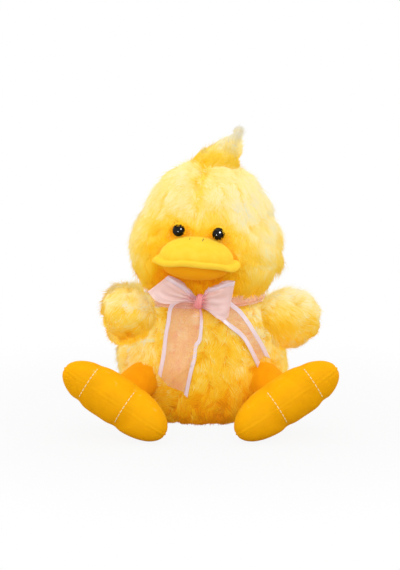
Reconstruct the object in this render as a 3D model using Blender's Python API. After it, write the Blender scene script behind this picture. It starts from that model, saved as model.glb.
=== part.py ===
"""A sitting plush duck, built as it is sewn: pile skins over wads of fibre, velour bill and feet,
safety eyes on washers, and a tied organza ribbon. Metres, +Z up, the duck looks along -Y.
The origin is the middle of the flat seat."""

import math

import bpy
import numpy as np
from mathutils import Euler, Matrix, Vector

# Cloth, gaps and cuts
CLEARANCE = 0.0003
PLUSH_WALL = 0.0030
VELOUR_WALL = 0.0018
RIBBON_WALL = 0.0006
CUT_OVERRUN = 0.0040
FLOOR_CUT = 0.0005

# Body: a pear that stands on its flat seat and is open at the neck
BODY_WIDTH = 0.1600
BODY_DEPTH = 0.1420
BODY_HEIGHT = 0.1295
BODY_SQUARENESS = 2.15
BODY_OUTLINE_SHARES = (
    (0.000, 0.580), (0.022, 0.700), (0.080, 0.840), (0.200, 0.950), (0.400, 1.000), (0.600, 0.975),
    (0.750, 0.905), (0.850, 0.825), (0.920, 0.750), (0.970, 0.675), (1.000, 0.600),
)

# Neck: a ball of fibre in the open neck, on which the head turns and nods
NECK_BALL_RADIUS = 0.0380
NECK_DROP = 0.0070
NECK_HEIGHT = BODY_HEIGHT - NECK_DROP
NECK_SET_BACK = 0.0020

# Head: narrow crown, full cheeks, flat underside; sizes are from its open base
HEAD_WIDTH = 0.1420
HEAD_DEPTH = 0.1280
HEAD_HEIGHT = 0.1135
HEAD_BASE_LIFT = 0.0155
HEAD_SQUARENESS = 2.20
HEAD_TURN = math.radians(-9.0)
HEAD_LEAN = math.radians(3.8)
HEAD_OUTLINE_SHARES = (
    (0.000, 0.660), (0.001, 0.760), (0.030, 0.855), (0.090, 0.925), (0.165, 0.978), (0.255, 1.000),
    (0.370, 0.985), (0.475, 0.935), (0.560, 0.865), (0.630, 0.815), (0.700, 0.765), (0.790, 0.685),
    (0.860, 0.600), (0.920, 0.495), (0.965, 0.360), (0.992, 0.190), (1.000, 0.000),
)

# Crest: a swept tuft in the crown seam
CREST_WIDTH = 0.0450
CREST_DEPTH = 0.0260
CREST_HEIGHT = 0.0420
CREST_SWEEP = 0.0275
CREST_SINK = 0.0060
CREST_OFFSET = 0.0015
CREST_SHARES = ((0.00, 1.00, 0.00), (0.18, 0.98, 0.10), (0.40, 0.74, 0.30), (0.62, 0.50, 0.56),
                (0.82, 0.30, 0.82), (0.95, 0.14, 0.97), (1.00, 0.00, 1.00))

# Eyes: moulded domes whose stems are pushed through the skin into a washer
EYE_WIDTH = 0.0130
EYE_DOME = 0.0052
EYE_SPACING = 0.0385
EYE_LIFT = 0.0562
STEM_RADIUS = 0.0016
STEM_END = 0.0030
WASHER_RADIUS = 0.0075
WASHER_THICKNESS = 0.0012
WASHER_DISH = 0.0020

# Bill: a domed upper with a rolled lip, and a shallow lower bowl under it
BILL_WIDTH = 0.0860
BILL_REACH = 0.0410
BILL_LIFT = 0.0290
DOME_WIDTH_SHARE = 0.82
DOME_RISE = 0.0178
DOME_PLUMPNESS = 1.10
LIP_THICKNESS = 0.0066
LIP_WAVE = 0.0009
LIP_SECTION_SHARES = ((1.10, 0.00), (0.15, 0.12), (0.00, 0.50), (0.15, 0.88), (0.80, 1.00))
DOME_FOOT_SHARE = 0.80
LOWER_WIDTH = 0.0650
LOWER_REACH = 0.0330
LOWER_DEPTH = 0.0170
LOWER_PLUMPNESS = 0.80

# Wings: padded paddles on ball-ended roots at the shoulders
WING_LENGTH = {"left": 0.0430, "right": 0.0470}
WING_CHORD = 0.0470
WING_THICKNESS = 0.0320
WING_ROOT_RADIUS = 0.0135
WING_ROOT_OPENING_SHARE = 0.55
PRESS_GAP = 0.0010
BEND_SHARE = 0.45
SHOULDER_TURN = math.radians(63.0)
SHOULDER_DROP = 0.0245
SHOULDER_HEIGHT = BODY_HEIGHT - SHOULDER_DROP
SHOULDER_STANDOFF = 0.0012
WING_SHARES = ((0.13, 0.56, 0.82), (0.28, 0.80, 0.94), (0.48, 0.98, 1.00), (0.66, 1.00, 0.95),
               (0.82, 0.88, 0.80), (0.93, 0.64, 0.56), (0.985, 0.32, 0.28), (1.00, 0.00, 0.00))
WING_SWEEP = {"left": math.radians(56.0), "right": math.radians(6.0)}
WING_DROOP = {"left": math.radians(-5.0), "right": math.radians(20.0)}

# Legs: velour sleeves on ball-ended roots at the hips, each ending on its foot
LEG_RADIUS = 0.0180
LEG_ROOT_RADIUS = 0.0210
LEG_ROOT_OPENING_SHARE = 0.60
LEG_LENGTH = 0.0560
LEG_STRAIGHT_SHARE = 0.35
HIP_TURN = math.radians(46.0)
HIP_HEIGHT = 0.0470
HIP_STANDOFF = 0.0020

# Feet: broad webbed pads with three toes, seamed along the edge, soles turned out
FOOT_WIDTH = 0.1160
FOOT_LENGTH = 0.0800
FOOT_THICKNESS = 0.0460
FOOT_CENTRE_SHARE = 0.62
FOOT_OPENING_RADIUS = 0.0110
FOOT_SPREAD = {"left": 0.0830, "right": 0.0785}
FOOT_STEP_FORWARD = 0.0200
FOOT_FORWARD = BODY_DEPTH / 2 + FOOT_STEP_FORWARD
FOOT_ROLL = math.radians(32.0)
FOOT_PITCH = math.radians(10.0)
FOOT_YAW = {"left": math.radians(6.0), "right": math.radians(6.0)}
TOE_CHANNEL_DEPTH_SHARE = 0.16
TOE_CHANNEL_WIDTH = 0.0120
TOE_CHANNEL_PLACE_SHARE = 0.34
TOE_CHANNEL_START_SHARE = -0.12
TOE_CHANNEL_FADE_SHARE = 0.30
HEEL_TAPER_SHARE = 0.28
FOOT_PLUMPNESS = 0.72
FOOT_OUTLINE_SHARES = (
    (0.00, 0.00), (0.26, 0.03), (0.44, 0.14), (0.62, 0.32), (0.80, 0.50), (0.95, 0.68), (1.00, 0.80),
    (0.94, 0.92), (0.76, 0.99), (0.56, 0.995), (0.36, 0.965), (0.18, 0.995), (0.00, 1.00),
)

# Tail: a small padded point at the back
TAIL_WIDTH = 0.0440
TAIL_THICKNESS = 0.0280
TAIL_LENGTH = 0.0340
TAIL_HEIGHT = 0.0420
TAIL_SINK = 0.0080
TAIL_RISE = math.radians(32.0)
TAIL_SHARES = ((0.00, 1.00), (0.25, 0.97), (0.50, 0.82), (0.72, 0.58), (0.88, 0.34), (0.97, 0.16), (1.00, 0.00))

# Ribbon: a gathered collar, a knot, two loops and two tails of the same ribbon
GATHERED_WIDTH = 0.0120
TAIL_START_WIDTH = 0.0048
COLLAR_DROP = 0.0005
COLLAR_HEIGHT = 0.0100
COLLAR_TOP = BODY_HEIGHT - COLLAR_DROP
COLLAR_LOW = COLLAR_TOP - COLLAR_HEIGHT
COLLAR_THICKNESS = 0.0018
COLLAR_STANDOFF = 0.0006
KNOT_WIDTH = 0.0110
KNOT_HEIGHT = 0.0150
KNOT_DEPTH = 0.0090
KNOT_OFFSET = -0.0035
KNOT_PLACE_SHARE = 0.20
KNOT_SQUARENESS = 2.60
KNOT_PLUMPNESS = 0.80
LOOP_LENGTH = {"left": 0.0370, "right": 0.0280}
LOOP_WIDTH = {"left": 0.0300, "right": 0.0370}
LOOP_RISE = {"left": math.radians(18.0), "right": math.radians(3.0)}
LOOP_LEAN = {"left": math.radians(54.0), "right": math.radians(-14.0)}
LOOP_BULGE = 0.0060
LOOP_FORWARD = 0.0075
LOOP_START_SHARE = 0.30
LOOP_OPENING_POWER = 0.70
LOOP_END_TURN = math.radians(152.0)
TAIL_LIFT = 0.0035
TAIL_BACK_SHARE = 0.30
TAIL_TUCK_SHARE = 0.86
TAIL_LENGTHS = {"left": 0.0860, "right": 0.0720}
TAIL_WIDTHS = {"left": 0.0380, "right": 0.0250}
TAIL_REACH = {"left": -0.0230, "right": 0.0575}
TAIL_BOW = {"left": -0.0080, "right": 0.0070}
TAIL_END_SHARES = {"left": (0.76, 0.88, 1.00), "right": (1.00, 0.90, 0.97)}
TAIL_OPEN_SHARE = 0.20
TAIL_OPEN_POWER = 0.80
TAIL_HANG_SHARE = 0.25

# Faces round and along each form
BODY_SIDES = 28
BODY_LEVELS = 15
HEAD_SIDES = 28
HEAD_LEVELS = 16
LIMB_SIDES = 16
WING_ROOT_STEPS = 3
FOOT_SIDES = 28
FOOT_LEVELS = 5
BALL_SIDES = 24
CUTTER_SIDES = 24
SMALL_SIDES = 16
BILL_SIDES = 30
LOOP_STEPS = 16
TAIL_STEPS = 10
FILL_SKIP_COUNT = 2
SMALLEST_SHARE = 1e-6
FLOOR_REACH = 2 * BODY_WIDTH

PLUSH_YELLOW = (0.94, 0.60, 0.10)
FIBRE_WHITE = (0.86, 0.85, 0.80)
VELOUR_YELLOW = (0.96, 0.55, 0.01)
VELOUR_ORANGE = (0.90, 0.30, 0.01)
EYE_BLACK = (0.01, 0.008, 0.007)
WASHER_WHITE = (0.75, 0.75, 0.72)
RIBBON_PINK = (0.90, 0.55, 0.50)


def clear_scene():
    """Remove what the file opened with."""
    for thing in list(bpy.data.objects):
        bpy.data.objects.remove(thing)


def smooth_points(points, count):
    """Even steps along a smooth curve through the points: Catmull-Rom over the chord length."""
    points = np.asarray(points, float)
    chord = np.linalg.norm(np.diff(points, axis=0), axis=1)
    knots = np.concatenate(([0.0], np.cumsum(np.sqrt(chord))))
    slopes = np.gradient(points, knots, axis=0)
    fine = np.linspace(knots[0], knots[-1], count * 24)
    span = np.clip(np.searchsorted(knots, fine, side="right") - 1, 0, len(knots) - 2)
    width = (knots[span + 1] - knots[span])[:, None]
    t = (fine[:, None] - knots[span][:, None]) / width
    curve = (
        (2 * t**3 - 3 * t**2 + 1) * points[span] + (t**3 - 2 * t**2 + t) * width * slopes[span]
        + (-2 * t**3 + 3 * t**2) * points[span + 1] + (t**3 - t**2) * width * slopes[span + 1]
    )
    length = np.concatenate(([0.0], np.cumsum(np.linalg.norm(np.diff(curve, axis=0), axis=1))))
    even = np.linspace(0.0, length[-1], count)
    return np.stack([np.interp(even, length, curve[:, axis]) for axis in range(points.shape[1])], axis=1)


def oval(sides, squareness=2.0):
    """Unit rim, anticlockwise seen from above: a superellipse of the given squareness."""
    turn = np.linspace(0.0, 2.0 * math.pi, sides, endpoint=False)
    x = np.sign(np.cos(turn)) * np.abs(np.cos(turn)) ** (2.0 / squareness)
    y = np.sign(np.sin(turn)) * np.abs(np.sin(turn)) ** (2.0 / squareness)
    return x, y


class Form:
    """A plump upright form: level superellipse rings whose size follows an outline of shares."""

    def __init__(self, shares, width, depth, height, squareness, base=0.0):
        self.shares = shares
        self.half = (width / 2, depth / 2)
        self.height = height
        self.squareness = squareness
        self.base = base
        fine = smooth_points(shares, 200)
        self.fine_height = base + fine[:, 0] * height
        self.fine_share = fine[:, 1]

    def rings(self, sides, levels):
        """Rings from the base to the top, as an array of levels by sides by 3."""
        outline = smooth_points(self.shares, levels)
        x, y = oval(sides, self.squareness)
        rings = np.zeros((levels, sides, 3))
        rings[:, :, 0] = outline[:, 1:2] * x[None, :] * self.half[0]
        rings[:, :, 1] = outline[:, 1:2] * y[None, :] * self.half[1]
        rings[:, :, 2] = self.base + outline[:, 0:1] * self.height
        return rings

    def share_at(self, height):
        """Share of the full width at a height, above the widest level or below it alike."""
        return np.interp(height, self.fine_height, self.fine_share)

    def front(self, x, height):
        """Y of the front surface at a side place and a height."""
        share = self.share_at(height)
        across = np.clip(np.abs(x) / (self.half[0] * share), 0.0, 1.0) ** self.squareness
        return -self.half[1] * share * (1.0 - across) ** (1.0 / self.squareness)

    def surface(self, turn, height):
        """Point of the surface at a height, turned from straight ahead towards +X."""
        share = self.share_at(height)
        x = math.copysign(abs(math.sin(turn)) ** (2.0 / self.squareness), turn) * self.half[0] * share
        y = -abs(math.cos(turn)) ** (2.0 / self.squareness) * self.half[1] * share
        return Vector((x, y, height))

    def depth(self, points):
        """Level of each point: 1 on the surface, less inside, more outside."""
        share = self.share_at(points[..., 2])
        across = np.abs(points[..., 0]) / (self.half[0] * share)
        ahead = np.abs(points[..., 1]) / (self.half[1] * share)
        return (across**self.squareness + ahead**self.squareness) ** (1.0 / self.squareness)

    def normal(self, point, step):
        """Outward unit normal at a point of the surface, from the levels a small step away."""
        steps = np.eye(3) * step
        near = np.array(point)
        return Vector(self.depth(near + steps) - self.depth(near - steps)).normalized()

    def front_normal(self, x, height, step):
        """Outward unit normal of the front surface, from its slopes over a small step."""
        across = (self.front(x + step, height) - self.front(x - step, height)) / (2 * step)
        upward = (self.front(x, height + step) - self.front(x, height - step)) / (2 * step)
        return Vector((across, -1.0, upward)).normalized()


BODY = Form(BODY_OUTLINE_SHARES, BODY_WIDTH, BODY_DEPTH, BODY_HEIGHT, BODY_SQUARENESS)
HEAD = Form(HEAD_OUTLINE_SHARES, HEAD_WIDTH, HEAD_DEPTH, HEAD_HEIGHT, HEAD_SQUARENESS, HEAD_BASE_LIFT)


def moved_out(rings, distance):
    """The rings moved along their outward normals, found from the steps to the next rings and sides."""
    along = np.gradient(rings, axis=0)
    around = np.roll(rings, -1, axis=1) - np.roll(rings, 1, axis=1)
    normal = np.cross(around, along)
    length = np.linalg.norm(normal, axis=2, keepdims=True)
    smallest = SMALLEST_SHARE * length.max()
    pole = length[:, :, 0].max(axis=1) < smallest
    normal = normal / np.maximum(length, smallest)
    for level in np.flatnonzero(pole):
        inward = 1 if level == 0 else -1
        normal[level] = (rings[level] - rings[level + inward].mean(axis=0))
        normal[level] /= np.linalg.norm(normal[level], axis=1, keepdims=True)
    return rings + normal * distance


def ring_mesh(rings, caps, inside_out=False):
    """Points and faces of a ring surface. Each cap is open, flat (one face) or pole (a fan)."""
    levels, sides = rings.shape[:2]
    first, last = (1 if caps[0] == "pole" else 0), (levels - 1 if caps[1] == "pole" else levels)
    kept = rings[first:last]
    points = [tuple(p) for p in kept.reshape(-1, 3)]
    faces = []
    for level in range(len(kept) - 1):
        for side in range(sides):
            here, there = level * sides, (level + 1) * sides
            after = (side + 1) % sides
            faces.append((here + side, here + after, there + after, there + side))
    top = (len(kept) - 1) * sides
    if caps[0] == "flat":
        faces.append(tuple(range(sides - 1, -1, -1)))
    if caps[1] == "flat":
        faces.append(tuple(range(top, top + sides)))
    if caps[0] == "pole":
        points.append(tuple(rings[0].mean(axis=0)))
        faces += [((side + 1) % sides, side, len(points) - 1) for side in range(sides)]
    if caps[1] == "pole":
        points.append(tuple(rings[-1].mean(axis=0)))
        faces += [(top + side, top + (side + 1) % sides, len(points) - 1) for side in range(sides)]
    if inside_out:
        faces = [face[:1] + face[:0:-1] for face in faces]
    return points, faces


def shell_mesh(outer, inner, caps):
    """A wall between two ring surfaces, closed by a rim at each open end."""
    points, faces = ring_mesh(outer, caps)
    inner_points, inner_faces = ring_mesh(inner, caps, inside_out=True)
    start = len(points)
    sides = outer.shape[1]
    points += inner_points
    faces += [tuple(corner + start for corner in face) for face in inner_faces]
    levels = outer.shape[0] - caps.count("pole")
    for cap, level in zip(caps, (0, levels - 1)):
        if cap != "open":
            continue
        for side in range(sides):
            here, after = level * sides + side, level * sides + (side + 1) % sides
            rim = (here, after, start + after, start + here)
            faces.append(rim if level else tuple(reversed(rim)))
    return points, faces


def material(name, colour, roughness):
    """A Principled material of one colour."""
    made = bpy.data.materials.new(name)
    made.use_nodes = True
    shader = made.node_tree.nodes["Principled BSDF"]
    shader.inputs["Base Color"].default_value = (*colour, 1.0)
    shader.inputs["Roughness"].default_value = roughness
    return made


def add_object(name, mesh_data, colour, roughness=0.9, parent=None, place=None):
    """One named object, shaded smooth, in its parent's frame."""
    mesh = bpy.data.meshes.new(name)
    mesh.from_pydata(mesh_data[0], [], mesh_data[1])
    mesh.validate()
    mesh.shade_smooth()
    made = bpy.data.objects.new(name, mesh)
    bpy.context.collection.objects.link(made)
    if colour is not None:
        mesh.materials.append(material(name, colour, roughness))
    if parent is not None:
        made.parent = parent
    if place is not None:
        made.matrix_basis = place
    return made


def add_cutter(name, mesh_data, parent=None, place=None):
    """A hidden shape that only cuts."""
    cutter = add_object(name, mesh_data, None, parent=parent, place=place)
    cutter.hide_render = True
    cutter.display_type = "WIRE"
    return cutter


def cut(piece, *cutters):
    """Subtract each cutter from the piece."""
    for cutter in cutters:
        step = piece.modifiers.new("cut " + cutter.name, "BOOLEAN")
        step.operation = "DIFFERENCE"
        step.solver = "EXACT"
        step.object = cutter


def add_frame(name, matrix, parent=None):
    """An empty whose origin lies on a joint's axis."""
    frame = bpy.data.objects.new(name, None)
    bpy.context.collection.objects.link(frame)
    frame.parent = parent
    frame.matrix_basis = matrix
    return frame


def ball_mesh(radius, sides):
    """A sphere by rings of latitude, poles on Z."""
    tilt = np.linspace(-math.pi / 2, math.pi / 2, sides // 2 + 1)
    x, y = oval(sides)
    rings = np.zeros((len(tilt), sides, 3))
    rings[:, :, 0] = np.cos(tilt)[:, None] * x * radius
    rings[:, :, 1] = np.cos(tilt)[:, None] * y * radius
    rings[:, :, 2] = np.sin(tilt)[:, None] * radius
    return ring_mesh(rings, ("pole", "pole"))


def socket_mesh(radius):
    """A cutting ball whose flattest facets still clear a turning ball of the given radius."""
    facet = math.cos(math.pi / CUTTER_SIDES) ** 2
    return ball_mesh((radius + CLEARANCE) / facet, CUTTER_SIDES)


def turned_mesh(profile, sides, caps):
    """A turned solid about Z from (radius, height) pairs, bottom first."""
    x, y = oval(sides)
    profile = np.asarray(profile, float)
    rings = np.zeros((len(profile), sides, 3))
    rings[:, :, 0] = profile[:, 0:1] * x
    rings[:, :, 1] = profile[:, 0:1] * y
    rings[:, :, 2] = profile[:, 1:2]
    return ring_mesh(rings, caps)


def build_body(cutters):
    """The pile skin, open at the neck, and the fibre that fills it."""
    outer = BODY.rings(BODY_SIDES, BODY_LEVELS)
    inner = moved_out(outer, -PLUSH_WALL)
    inner[0, :, 2] = PLUSH_WALL
    skin = add_object("body_skin", shell_mesh(outer, inner, ("flat", "open")), PLUSH_YELLOW)
    cut(skin, *cutters)
    fill = moved_out(outer, -PLUSH_WALL - CLEARANCE)
    fill[0, :, 2] = PLUSH_WALL + CLEARANCE
    fibre = add_object("body_stuffing", ring_mesh(fill[::FILL_SKIP_COUNT], ("flat", "flat")), FIBRE_WHITE)
    cut(fibre, *cutters)


def head_cutters(frame):
    """The head's outside, a clearance larger, which cuts what is sewn to the head."""
    grown = moved_out(HEAD.rings(HEAD_SIDES, HEAD_LEVELS), CLEARANCE)
    return add_cutter("head_cutter", ring_mesh(grown, ("flat", "pole")), frame)


def eye_places():
    """Where each eye's flat back lies in the head's frame, its own Z pointing out of the face."""
    places = {}
    height = HEAD_BASE_LIFT + EYE_LIFT
    for side, name in ((-1, "left"), (1, "right")):
        x = side * EYE_SPACING / 2
        normal = HEAD.front_normal(x, height, EYE_DOME)
        surface = Vector((x, HEAD.front(x, height), height))
        turn = normal.to_track_quat("Z", "Y").to_matrix().to_4x4()
        places[name] = Matrix.Translation(surface + normal * CLEARANCE) @ turn
    return places


def build_head(frame, neck_socket):
    """The pile skin and fibre of the head, with the eyes' stems and washers let into them."""
    outer = HEAD.rings(HEAD_SIDES, HEAD_LEVELS)
    inner = moved_out(outer, -PLUSH_WALL)
    skin = add_object("head_skin", shell_mesh(outer, inner, ("open", "pole")), PLUSH_YELLOW, parent=frame)
    fill = moved_out(outer, -PLUSH_WALL - CLEARANCE)
    fill = fill[1:][::FILL_SKIP_COUNT]
    fibre = add_object("head_stuffing", ring_mesh(fill, ("flat", "pole")), FIBRE_WHITE, parent=frame)
    cut(fibre, neck_socket)
    washer_top = -PLUSH_WALL - CLEARANCE - WASHER_DISH
    stem_bottom = washer_top - WASHER_THICKNESS - STEM_END
    for name, place in eye_places().items():
        lean = np.linspace(0.0, math.pi / 2, 6)
        dome = [(EYE_WIDTH / 2 * math.cos(a), EYE_DOME * math.sin(a)) for a in lean]
        profile = [(0.0, stem_bottom), (STEM_RADIUS, stem_bottom), (STEM_RADIUS, 0.0)] + dome
        add_object("eye_" + name, turned_mesh(profile, SMALL_SIDES, ("pole", "pole")), EYE_BLACK, 0.08, frame, place)
        bore = STEM_RADIUS + CLEARANCE
        rim = np.array([[(bore, washer_top), (bore, washer_top - WASHER_THICKNESS),
                         (WASHER_RADIUS, washer_top - WASHER_THICKNESS), (WASHER_RADIUS, washer_top)]])
        add_object("eye_washer_" + name, loop_solid(rim[0]), WASHER_WHITE, 0.5, frame, place)
        reach = stem_bottom - CLEARANCE
        hole = turned_mesh([(bore, reach), (bore, EYE_DOME)], SMALL_SIDES, ("flat", "flat"))
        cut(skin, add_cutter("eye_hole_" + name, hole, frame, place))
        pocket_radius = WASHER_RADIUS + CLEARANCE
        pocket = turned_mesh([(pocket_radius, reach), (pocket_radius, EYE_DOME)], SMALL_SIDES, ("flat", "flat"))
        cut(fibre, add_cutter("eye_pocket_" + name, pocket, frame, place))


def loop_solid(section):
    """A ring turned about Z from a closed section of (radius, height) corners."""
    x, y = oval(SMALL_SIDES)
    corners = len(section)
    points = [(r * cx, r * cy, h) for r, h in section for cx, cy in zip(x, y)]
    faces = []
    for corner in range(corners):
        for side in range(SMALL_SIDES):
            here, there = corner * SMALL_SIDES, ((corner + 1) % corners) * SMALL_SIDES
            after = (side + 1) % SMALL_SIDES
            faces.append((here + side, here + after, there + after, there + side))
    return points, faces


def build_crest(frame, head_cutter):
    """A tuft that sweeps to one side as it rises, its foot cut to the crown."""
    top = HEAD_BASE_LIFT + HEAD_HEIGHT
    stations = smooth_points(CREST_SHARES, 9)
    x, y = oval(LIMB_SIDES)
    rings = np.zeros((len(stations), LIMB_SIDES, 3))
    rings[:, :, 0] = CREST_OFFSET + stations[:, 2:3] * CREST_SWEEP + stations[:, 1:2] * x * CREST_WIDTH / 2
    rings[:, :, 1] = stations[:, 1:2] * y * CREST_DEPTH / 2
    rings[:, :, 2] = top - CREST_SINK + stations[:, 0:1] * (CREST_HEIGHT + CREST_SINK)
    crest = add_object("crest", ring_mesh(rings, ("flat", "pole")), PLUSH_YELLOW, parent=frame)
    cut(crest, head_cutter)


def build_bill(frame, head_cutter):
    """The upper bill is a dome over a rolled, slightly wavy lip; the lower is a bowl. The head cuts both."""
    lip = HEAD_BASE_LIFT + BILL_LIFT
    centre_y = float(HEAD.front(0.0, lip))
    turn = np.linspace(0.0, 2.0 * math.pi, BILL_SIDES, endpoint=False)
    half = BILL_WIDTH / 2
    profile = [(0.0, 0.0)]
    profile += [(1.0 - inset * LIP_THICKNESS / half, up * LIP_THICKNESS) for inset, up in LIP_SECTION_SHARES]
    foot = DOME_FOOT_SHARE * LIP_THICKNESS
    rise = np.linspace(0.0, math.pi / 2, 7)
    width = DOME_WIDTH_SHARE * np.cos(rise) ** DOME_PLUMPNESS
    profile += list(zip(width, foot + DOME_RISE * np.sin(rise)))
    rings = np.zeros((len(profile), BILL_SIDES, 3))
    for level, (share, height) in enumerate(profile):
        wave = LIP_WAVE * np.sin(4.0 * turn) * share**2
        rings[level, :, 0] = share * half * np.cos(turn)
        rings[level, :, 1] = centre_y + share * BILL_REACH * np.sin(turn)
        rings[level, :, 2] = lip + height + (wave if height else 0.0)
    upper = add_object("bill_upper", ring_mesh(rings, ("pole", "pole")), VELOUR_YELLOW, 0.8, frame)
    cut(upper, head_cutter)
    bowl = np.linspace(-math.pi / 2, 0.0, 7)
    low = list(zip(np.maximum(np.cos(bowl), 0.0) ** LOWER_PLUMPNESS, LOWER_DEPTH * np.sin(bowl)))
    rings = np.zeros((len(low), BILL_SIDES, 3))
    for level, (share, height) in enumerate(low):
        rings[level, :, 0] = share * LOWER_WIDTH / 2 * np.cos(turn)
        rings[level, :, 1] = centre_y + share * LOWER_REACH * np.sin(turn)
        rings[level, :, 2] = lip - CLEARANCE + height
    lower = add_object("bill_lower", ring_mesh(rings, ("pole", "flat")), VELOUR_ORANGE, 0.8, frame)
    cut(lower, head_cutter)


def limb_rings(stations, centre=0.0):
    """Rings across +X from rows of (place, half height, half depth)."""
    x, y = oval(LIMB_SIDES)
    rings = np.zeros((len(stations), LIMB_SIDES, 3))
    rings[:, :, 0] = stations[:, 0:1] + centre
    rings[:, :, 1] = stations[:, 2:3] * x
    rings[:, :, 2] = stations[:, 1:2] * y
    return rings


def ball_root(radius, opening_share, steps):
    """Stations of a ball's near half, from its cut-off mouth to its middle."""
    start = -math.acos(opening_share)
    lean = np.linspace(start, 0.0, steps)
    return [(radius * math.sin(a), radius * math.cos(a), radius * math.cos(a)) for a in lean]


def drawn_in(stations, distance):
    """Stations of the surface a distance inside: the profile moved along its own normal."""
    mean = stations[:, 1:].mean(axis=1)
    run, climb = np.gradient(stations[:, 0]), np.gradient(mean)
    length = np.hypot(run, climb)
    inner = stations.copy()
    inner[:, 0] += distance * climb / length
    inner[:, 1:] = np.maximum(stations[:, 1:] - (distance * run / length)[:, None], 0.0)
    inner[-1] = (stations[-1, 0] - distance, 0.0, 0.0)
    return inner


def pressed_clear(rings, frame, gap):
    """The rings with each point that lies inside the body moved level outwards onto its skin, as a
    padded wing is pressed flat where it rests on the body's side."""
    matrix = np.array(frame.matrix_basis)
    world = rings @ matrix[:3, :3].T + matrix[:3, 3]
    grow = np.maximum(1.0, (1.0 + gap / BODY.half[1]) / BODY.depth(world))
    world[:, :, 0] *= grow
    world[:, :, 1] *= grow
    return (world - matrix[:3, 3]) @ matrix[:3, :3]


def bent_rings(stations, start, length):
    """Limb rings carried along a curve that leaves along the start direction and ends along +X:
    a quadratic Bezier over the length. Stations before zero stay on their ball."""
    plain = limb_rings(stations)
    start = np.array(start)
    aim = np.array((1.0, 0.0, 0.0))
    rings = np.zeros_like(plain)
    for level, place in enumerate(stations[:, 0]):
        share = max(place, 0.0) / length
        bend = length * BEND_SHARE
        centre = 2 * share * (1 - share) * start * bend + share**2 * aim * length
        along = (1 - share) * start * bend + share * (aim * length - start * bend)
        along = along / np.linalg.norm(along)
        if place < 0.0:
            centre = start * place
        flat = np.array((0.0, 1.0, 0.0)) - along[1] * along
        flat = flat / np.linalg.norm(flat)
        rings[level] = centre + plain[level, :, 1:2] * flat + plain[level, :, 2:3] * np.cross(along, flat)
    return rings


def build_wing(side, frame):
    """A padded paddle that leaves the shoulder square, swells, droops and is blunt at the tip."""
    length = WING_LENGTH[side]
    blade = [(s * length, c * WING_CHORD / 2, t * WING_THICKNESS / 2) for s, c, t in WING_SHARES]
    stations = ball_root(WING_ROOT_RADIUS, WING_ROOT_OPENING_SHARE, WING_ROOT_STEPS)
    stations = np.array(stations + list(smooth_points(blade, 8)))
    shoulder = frame.matrix_basis.to_translation()
    square = frame.matrix_basis.to_3x3().inverted() @ BODY.normal(shoulder, CUT_OVERRUN)
    surfaces = []
    for inset in (0.0, PLUSH_WALL, PLUSH_WALL + CLEARANCE):
        rings = bent_rings(drawn_in(stations, inset) if inset else stations, square, length)
        rings[WING_ROOT_STEPS:] = pressed_clear(rings[WING_ROOT_STEPS:], frame, PRESS_GAP + inset)
        surfaces.append(rings)
    outer, inner, fill = surfaces
    caps = ("open", "pole")
    add_object("wing_skin_" + side, shell_mesh(outer, inner, caps), PLUSH_YELLOW, parent=frame)
    add_object("wing_stuffing_" + side, ring_mesh(fill, ("flat", "pole")), FIBRE_WHITE, parent=frame)


def foot_rings(inset=0.0):
    """Rings of the foot's pad from sole to top in its own frame: width X, toes -Y, thickness Z.
    Each ring is the webbed outline, less an inset, drawn in towards its middle as the pad curves
    over, and two channels between the toes pinch the thickness."""
    half_outline = np.array(FOOT_OUTLINE_SHARES)
    right = smooth_points(half_outline, FOOT_SIDES // 2 + 1)
    left = right[1:-1][::-1] * np.array((-1.0, 1.0))
    outline = np.concatenate((right, left))
    x = outline[:, 0] * FOOT_WIDTH / 2
    y = (FOOT_CENTRE_SHARE - outline[:, 1]) * FOOT_LENGTH
    order = slice(None, None, -1)
    x, y = x[order], y[order]
    run_x, run_y = np.roll(x, -1) - np.roll(x, 1), np.roll(y, -1) - np.roll(y, 1)
    length = np.hypot(run_x, run_y)
    x, y = x - inset * run_y / length, y + inset * run_x / length
    lean = np.linspace(-math.pi / 2, math.pi / 2, 2 * FOOT_LEVELS + 1)
    draw, rise = np.maximum(np.cos(lean), 0.0) ** FOOT_PLUMPNESS, np.sin(lean)
    rings = np.zeros((len(lean), FOOT_SIDES, 3))
    rings[:, :, 0] = draw[:, None] * x
    rings[:, :, 1] = draw[:, None] * y
    place = FOOT_WIDTH / 2 * TOE_CHANNEL_PLACE_SHARE
    near = np.exp(-(((np.abs(rings[:, :, 0]) - place) / (TOE_CHANNEL_WIDTH / 2)) ** 2))
    forward = -rings[:, :, 1] / FOOT_LENGTH
    ahead = np.clip((forward - TOE_CHANNEL_START_SHARE) / TOE_CHANNEL_FADE_SHARE, 0.0, 1.0)
    taper = 1.0 - HEEL_TAPER_SHARE * np.clip(-forward / FOOT_CENTRE_SHARE, 0.0, 1.0)
    pinch = 1.0 - TOE_CHANNEL_DEPTH_SHARE * near * ahead
    rings[:, :, 2] = rise[:, None] * (FOOT_THICKNESS / 2 - inset) * pinch * taper
    return rings


def foot_place(side, hip):
    """The foot's place in the hip's frame: turned, rolled sole out, toes up, its lowest point on the floor."""
    sign = -1.0 if side == "left" else 1.0
    turn = Euler((-FOOT_PITCH, -sign * FOOT_ROLL, sign * FOOT_YAW[side]), "YXZ").to_matrix()
    points = foot_rings().reshape(-1, 3) @ np.array(turn).T
    lift = -points[:, 2].min() - FLOOR_CUT
    world = Matrix.Translation((sign * FOOT_SPREAD[side], -FOOT_FORWARD, lift)) @ turn.to_4x4()
    return hip.matrix_basis.inverted() @ world


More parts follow.
